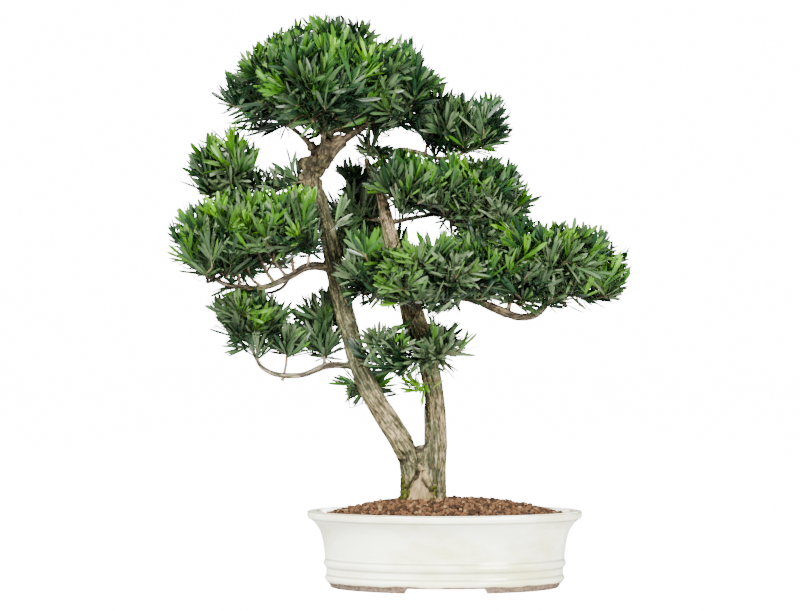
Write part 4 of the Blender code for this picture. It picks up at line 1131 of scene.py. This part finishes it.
# %% Pot
POT_CENTRE_X = 53.5
POT_HALF_LENGTH = 165.0
POT_DEPTH_RATIO = 0.77
POT_SEGMENTS = 192
FOOT_HEIGHT = 5.8
OUTER_PROFILE = [
    (139.6, 5.8), (140.8, 6.3), (141.5, 7.6), (142.4, 8.6), (143.4, 10.0), (143.7, 11.8), (143.3, 13.4), (142.3, 14.8),
    (141.9, 16.5), (142.0, 22.5), (142.6, 24.6), (144.1, 26.2), (145.2, 28.2), (145.3, 30.2), (144.6, 32.0),
    (143.7, 33.6), (143.7, 38.0), (144.6, 46.0), (146.3, 57.0), (149.8, 68.5), (155.4, 76.8), (160.4, 81.0),
    (162.9, 82.6), (163.9, 83.4), (164.7, 85.0), (164.9, 88.0), (164.6, 90.0), (163.6, 91.2), (161.6, 91.5),
]
INNER_PROFILE = [(154.5, 91.4), (152.2, 90.9), (150.2, 89.4), (146.5, 86.0), (141.5, 80.0), (138.4, 70.0), (136.0, 50.0)]


def oval_rings(name, rings, segments=POT_SEGMENTS):
    """A ring of the pot's oval that is extruded through the levels of a profile, as by hand."""
    deselect()
    radius, height = rings[0]
    centre = (POT_CENTRE_X * MM, 0, height * MM)
    bpy.ops.mesh.primitive_circle_add(vertices=segments, radius=radius * MM, fill_type="NOTHING", location=centre)
    piece = bpy.context.object
    piece.name = name
    piece.scale = (1, POT_DEPTH_RATIO, 1)
    bpy.ops.object.transform_apply(location=True, rotation=True, scale=True)
    bpy.ops.object.mode_set(mode="EDIT")
    bpy.ops.mesh.select_all(action="SELECT")
    for next_radius, next_height in rings[1:]:
        rise = (0, 0, (next_height - height) * MM)
        bpy.ops.mesh.extrude_region_move(TRANSFORM_OT_translate={"value": rise})
        size = next_radius / radius
        bpy.ops.transform.resize(value=(size, size, 1))
        radius, height = next_radius, next_height
    return piece


def close_normals():
    bpy.ops.mesh.select_all(action="SELECT")
    bpy.ops.mesh.normals_make_consistent(inside=False)
    bpy.ops.object.mode_set(mode="OBJECT")


pot = oval_rings("pot_body", [(60, FOOT_HEIGHT), (118, FOOT_HEIGHT), *OUTER_PROFILE, *INNER_PROFILE, (60, 48)])
bpy.ops.mesh.edge_face_add()
bpy.ops.mesh.select_all(action="DESELECT")
bpy.ops.mesh.select_mode(type="EDGE")
bpy.ops.mesh.select_non_manifold(extend=False)
bpy.ops.mesh.edge_face_add()
close_normals()
pot.data.shade_smooth()
print("pot:", triangles(pot), "triangles")

# %% [markdown]
# The two feet are one low ring with its front and back cut away. A block with sloping ends makes
# the cut, so each foot ends in the slope that the clay was trimmed to.

# %% Pot feet
FOOT_RING = [(119.5, FOOT_HEIGHT), (120.5, 1.0), (121.6, 0.0), (135.6, 0.0), (136.9, 1.0), (139.2, FOOT_HEIGHT)]
FOOT_GAP_BOTTOM = 48.6
FOOT_GAP_TOP = 44.5

feet = oval_rings("pot_feet", FOOT_RING)
bpy.ops.mesh.select_all(action="DESELECT")
bpy.ops.mesh.select_mode(type="EDGE")
bpy.ops.mesh.select_non_manifold(extend=False)
bpy.ops.mesh.bridge_edge_loops()
close_normals()
deselect()
bpy.ops.mesh.primitive_cube_add(size=2, location=(POT_CENTRE_X * MM, 0, 0.5 * FOOT_HEIGHT * MM))
gap = bpy.context.object
gap.scale = (FOOT_GAP_TOP * MM, POT_HALF_LENGTH * MM, 0.5 * FOOT_HEIGHT * MM)
bpy.ops.object.transform_apply(location=True, rotation=True, scale=True)
for corner in gap.data.vertices:
    low = corner.co.z < 0.5 * FOOT_HEIGHT * MM
    half = FOOT_GAP_BOTTOM if low else FOOT_GAP_TOP
    corner.co.x = (POT_CENTRE_X + math.copysign(half, corner.co.x - POT_CENTRE_X * MM)) * MM
    corner.co.z += (-1 if low else 1) * MM
apply_modifier(feet, "BOOLEAN", operation="DIFFERENCE", object=gap)
bpy.data.objects.remove(gap)
activate(feet)
bpy.ops.object.shade_smooth_by_angle(angle=math.radians(35))

# %% [markdown]
# The glaze is cream, a little green where it has pooled in the grooves and warmer where it is thin. The grooves under
# the two raised bands and under the lip are also darkened as painted shade. It stops short of the foot in an uneven
# line, and below that the bare brown clay shows.

# %% Glaze and clay
GLAZE_LINE = 7.8
GLAZE_WAVE = 5.2
# Darker bands in the glaze under the raised bands and under the lip, painted shade and partly pooled glaze: height and
# half width.
GROOVES = ((24.4, 2.4), (34.2, 2.0), (15.6, 2.2), (82.2, 2.0))
RIM_LINE = (90.7, 0.75)


def add_band(tree, height, middle, half):
    """A mask that is 1 at a height in millimetres and fades to 0 at half a width from it."""
    away = add_math(tree, "ABSOLUTE", add_math(tree, "SUBTRACT", height, middle * MM), 0.0)
    return add_math(tree, "SUBTRACT", 1.0, add_steps(tree, away, 0.0, half * MM))


def glaze_group():
    outputs = {"Color": "NodeSocketColor", "Roughness": "NodeSocketFloat", "Coat": "NodeSocketFloat", "Height": "NodeSocketFloat"}
    group, given, result = node_group("glaze over clay", {"Place": "NodeSocketVector"}, outputs)
    place = given.outputs["Place"]
    split = group.nodes.new("ShaderNodeSeparateXYZ")
    group.links.new(place, split.inputs["Vector"])
    wave = add_math(group, "MULTIPLY", add_noise(group, place, 34.0, 2.0), GLAZE_WAVE * MM)
    level = add_math(group, "SUBTRACT", split.outputs["Z"], wave)
    edge = GLAZE_LINE - 0.5 * GLAZE_WAVE
    glazed = add_steps(group, level, (edge - 0.4) * MM, (edge + 0.3) * MM)
    cloud = add_noise(group, add_scaled(group, place, (0.7, 0.7, 1.4)), 14.0, 5.0, 0.65)
    speck = add_noise(group, place, 170.0, 3.0)
    cream = add_mix(group, add_steps(group, cloud, 0.42, 0.70), (0.97, 0.99, 0.81), (0.70, 0.70, 0.33))
    cream = add_mix(group, add_math(group, "MULTIPLY", add_steps(group, speck, 0.60, 0.76), 0.25), cream, (0.66, 0.55, 0.34))
    pooled = add_steps(group, level, (edge + 4.0) * MM, edge * MM)
    cream = add_mix(group, add_math(group, "MULTIPLY", pooled, 0.7), cream, (0.72, 0.62, 0.34))
    # Painted shade in the grooves under the bands and the lip, partly pooled glaze.
    for middle, half in GROOVES:
        mask = add_math(group, "MULTIPLY", add_band(group, split.outputs["Z"], middle, half), 0.8)
        cream = add_mix(group, mask, cream, (0.40, 0.38, 0.22))
    thin = add_math(group, "MULTIPLY", add_band(group, split.outputs["Z"], *RIM_LINE), add_steps(group, cloud, 0.38, 0.5))
    cream = add_mix(group, thin, cream, (0.13, 0.09, 0.06))
    grit = add_noise(group, place, 300.0, 3.0)
    clay = add_mix(group, add_steps(group, grit, 0.35, 0.65), (0.075, 0.047, 0.030), (0.200, 0.135, 0.085))
    group.links.new(add_mix(group, glazed, clay, cream), result.inputs["Color"])
    dull = add_math(group, "SUBTRACT", 0.85, add_math(group, "MULTIPLY", glazed, 0.67))
    group.links.new(dull, result.inputs["Roughness"])
    group.links.new(add_math(group, "MULTIPLY", glazed, 0.4), result.inputs["Coat"])
    group.links.new(add_math(group, "MULTIPLY", cloud, glazed), result.inputs["Height"])
    return group


glaze = plain_material("glaze", (0.84, 0.82, 0.7), 0.2)
tree = glaze.node_tree
effect = tree.nodes.new("ShaderNodeGroup")
effect.node_tree = glaze_group()
place = tree.nodes.new("ShaderNodeTexCoord")
tree.links.new(place.outputs["Object"], effect.inputs["Place"])
shader = tree.nodes["Principled BSDF"]
for label, socket in (("Color", "Base Color"), ("Roughness", "Roughness"), ("Coat", "Coat Weight")):
    tree.links.new(effect.outputs[label], shader.inputs[socket])
bump = tree.nodes.new("ShaderNodeBump")
bump.inputs["Strength"].default_value = 0.35
bump.inputs["Distance"].default_value = 1.5 * MM
tree.links.new(effect.outputs["Height"], bump.inputs["Height"])
tree.links.new(bump.outputs["Normal"], shader.inputs["Normal"])
for piece in (pot, feet):
    piece.data.materials.append(glaze)
    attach(piece, "root")
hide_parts("pot")

# %% [markdown]
# Bonsai soil is baked clay in grains of 3 to 7 mm. A bed carries them in a low mound that rises to the
# trunk, and the grains lie on it in a spiral that spreads them evenly, pushed about at random. Most are
# red-brown, some are tan and a few are dark.

# %% Soil bed
SOIL_EDGE = 84.0
SOIL_TOP = 101.8
SOIL_HALF = 143.5
SOIL_PATCH = 44.0
SOIL_GLOSS = 0.1
BED_RINGS = 26
BED_SEGMENTS = 96


def mound_height(x, y):
    """Height of the bed at a place measured from the pot's middle."""
    reach = math.hypot(x, y / POT_DEPTH_RATIO)
    fall = max(0.0, (reach - SOIL_PATCH) / (SOIL_HALF - SOIL_PATCH))
    return SOIL_TOP - (SOIL_TOP - SOIL_EDGE) * fall**1.5 + 1.2 * noise.noise(Vector((x / 14, y / 14, 3)))


points, faces = [(POT_CENTRE_X, 0, mound_height(0, 0))], []
for i in range(1, BED_RINGS + 1):
    for k in range(BED_SEGMENTS):
        turn, radius = 2 * math.pi * k / BED_SEGMENTS, SOIL_HALF * i / BED_RINGS
        x, y = radius * math.cos(turn), radius * math.sin(turn) * POT_DEPTH_RATIO
        points.append((POT_CENTRE_X + x, y, mound_height(x, y)))
for k in range(BED_SEGMENTS):
    following = (k + 1) % BED_SEGMENTS
    faces.append((0, 1 + k, 1 + following))
    for i in range(BED_RINGS - 1):
        a, b = 1 + i * BED_SEGMENTS + k, 1 + i * BED_SEGMENTS + following
        faces.append((a, a + BED_SEGMENTS, b + BED_SEGMENTS, b))
bed = mesh_piece("soil_bed", points, faces)
# The bed is painted near black: painted shade in the gaps between the grains.
bed.data.materials.append(plain_material("soil bed", (0.016, 0.008, 0.004), 1.0, SOIL_GLOSS))
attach(bed, "root")
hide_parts("soil")

# %% [markdown]
# A grain is an icosphere knocked out of shape. A few shapes in many sizes and turns are enough.

# %% Soil grains
GRAIN_COUNT = 4300
GRAIN_SIZES = (1.5, 2.4, 3.8)
GRAIN_KINDS = {
    "grains_red": ((0.074, 0.036, 0.016), 0.48),
    "grains_brown": ((0.026, 0.013, 0.006), 0.40),
    "grains_tan": ((0.160, 0.092, 0.040), 0.06),
    "grains_dark": ((0.014, 0.011, 0.008), 0.06),
}
GRAIN_SHAPES = 8


def grain_shape():
    """Points and faces of one knocked-about grain of about unit radius."""
    bm = bmesh.new()
    bmesh.ops.create_icosphere(bm, subdivisions=1, radius=1)
    offset = Vector(rng.uniform(0, 99, 3))
    squash = Vector(rng.uniform(0.75, 1.15, 3))
    shape = [v.co * squash * (1 + 0.5 * noise.noise(v.co * 1.3 + offset)) for v in bm.verts]
    corners = [tuple(v.index for v in face.verts) for face in bm.faces]
    bm.free()
    return np.array(shape), np.array(corners)


shapes = [grain_shape() for _ in range(GRAIN_SHAPES)]
placed = {kind: ([], []) for kind in GRAIN_KINDS}
for k in range(GRAIN_COUNT):
    reach = SOIL_HALF * 0.985 * math.sqrt((k + 0.5) / GRAIN_COUNT)
    turn = k * GOLDEN_ANGLE
    x = reach * math.cos(turn) + rng.uniform(-1.6, 1.6)
    y = reach * math.sin(turn) * POT_DEPTH_RATIO + rng.uniform(-1.6, 1.6)
    size = rng.triangular(*GRAIN_SIZES)
    kind = rng.choice(list(GRAIN_KINDS), p=[share for _, share in GRAIN_KINDS.values()])
    shape, corners = shapes[k % GRAIN_SHAPES]
    spin = Matrix.Rotation(rng.uniform(0, 6.28), 3, Vector(unit(rng.normal(size=3))))
    centre = np.array((POT_CENTRE_X + x, y, mound_height(x, y) + size * rng.uniform(0.1, 1.0)))
    kind_points, kind_faces = placed[kind]
    kind_faces += (corners + 12 * len(kind_points)).tolist()
    kind_points.append(centre + size * shape @ np.array(spin).T)
for kind, (kind_points, kind_faces) in placed.items():
    grains = mesh_piece(kind, np.concatenate(kind_points), kind_faces, smooth=False)
    grains.data.materials.append(plain_material(kind, GRAIN_KINDS[kind][0], 0.95, SOIL_GLOSS))
    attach(grains, "root")
    print(f"{kind}: {triangles(grains)} triangles")
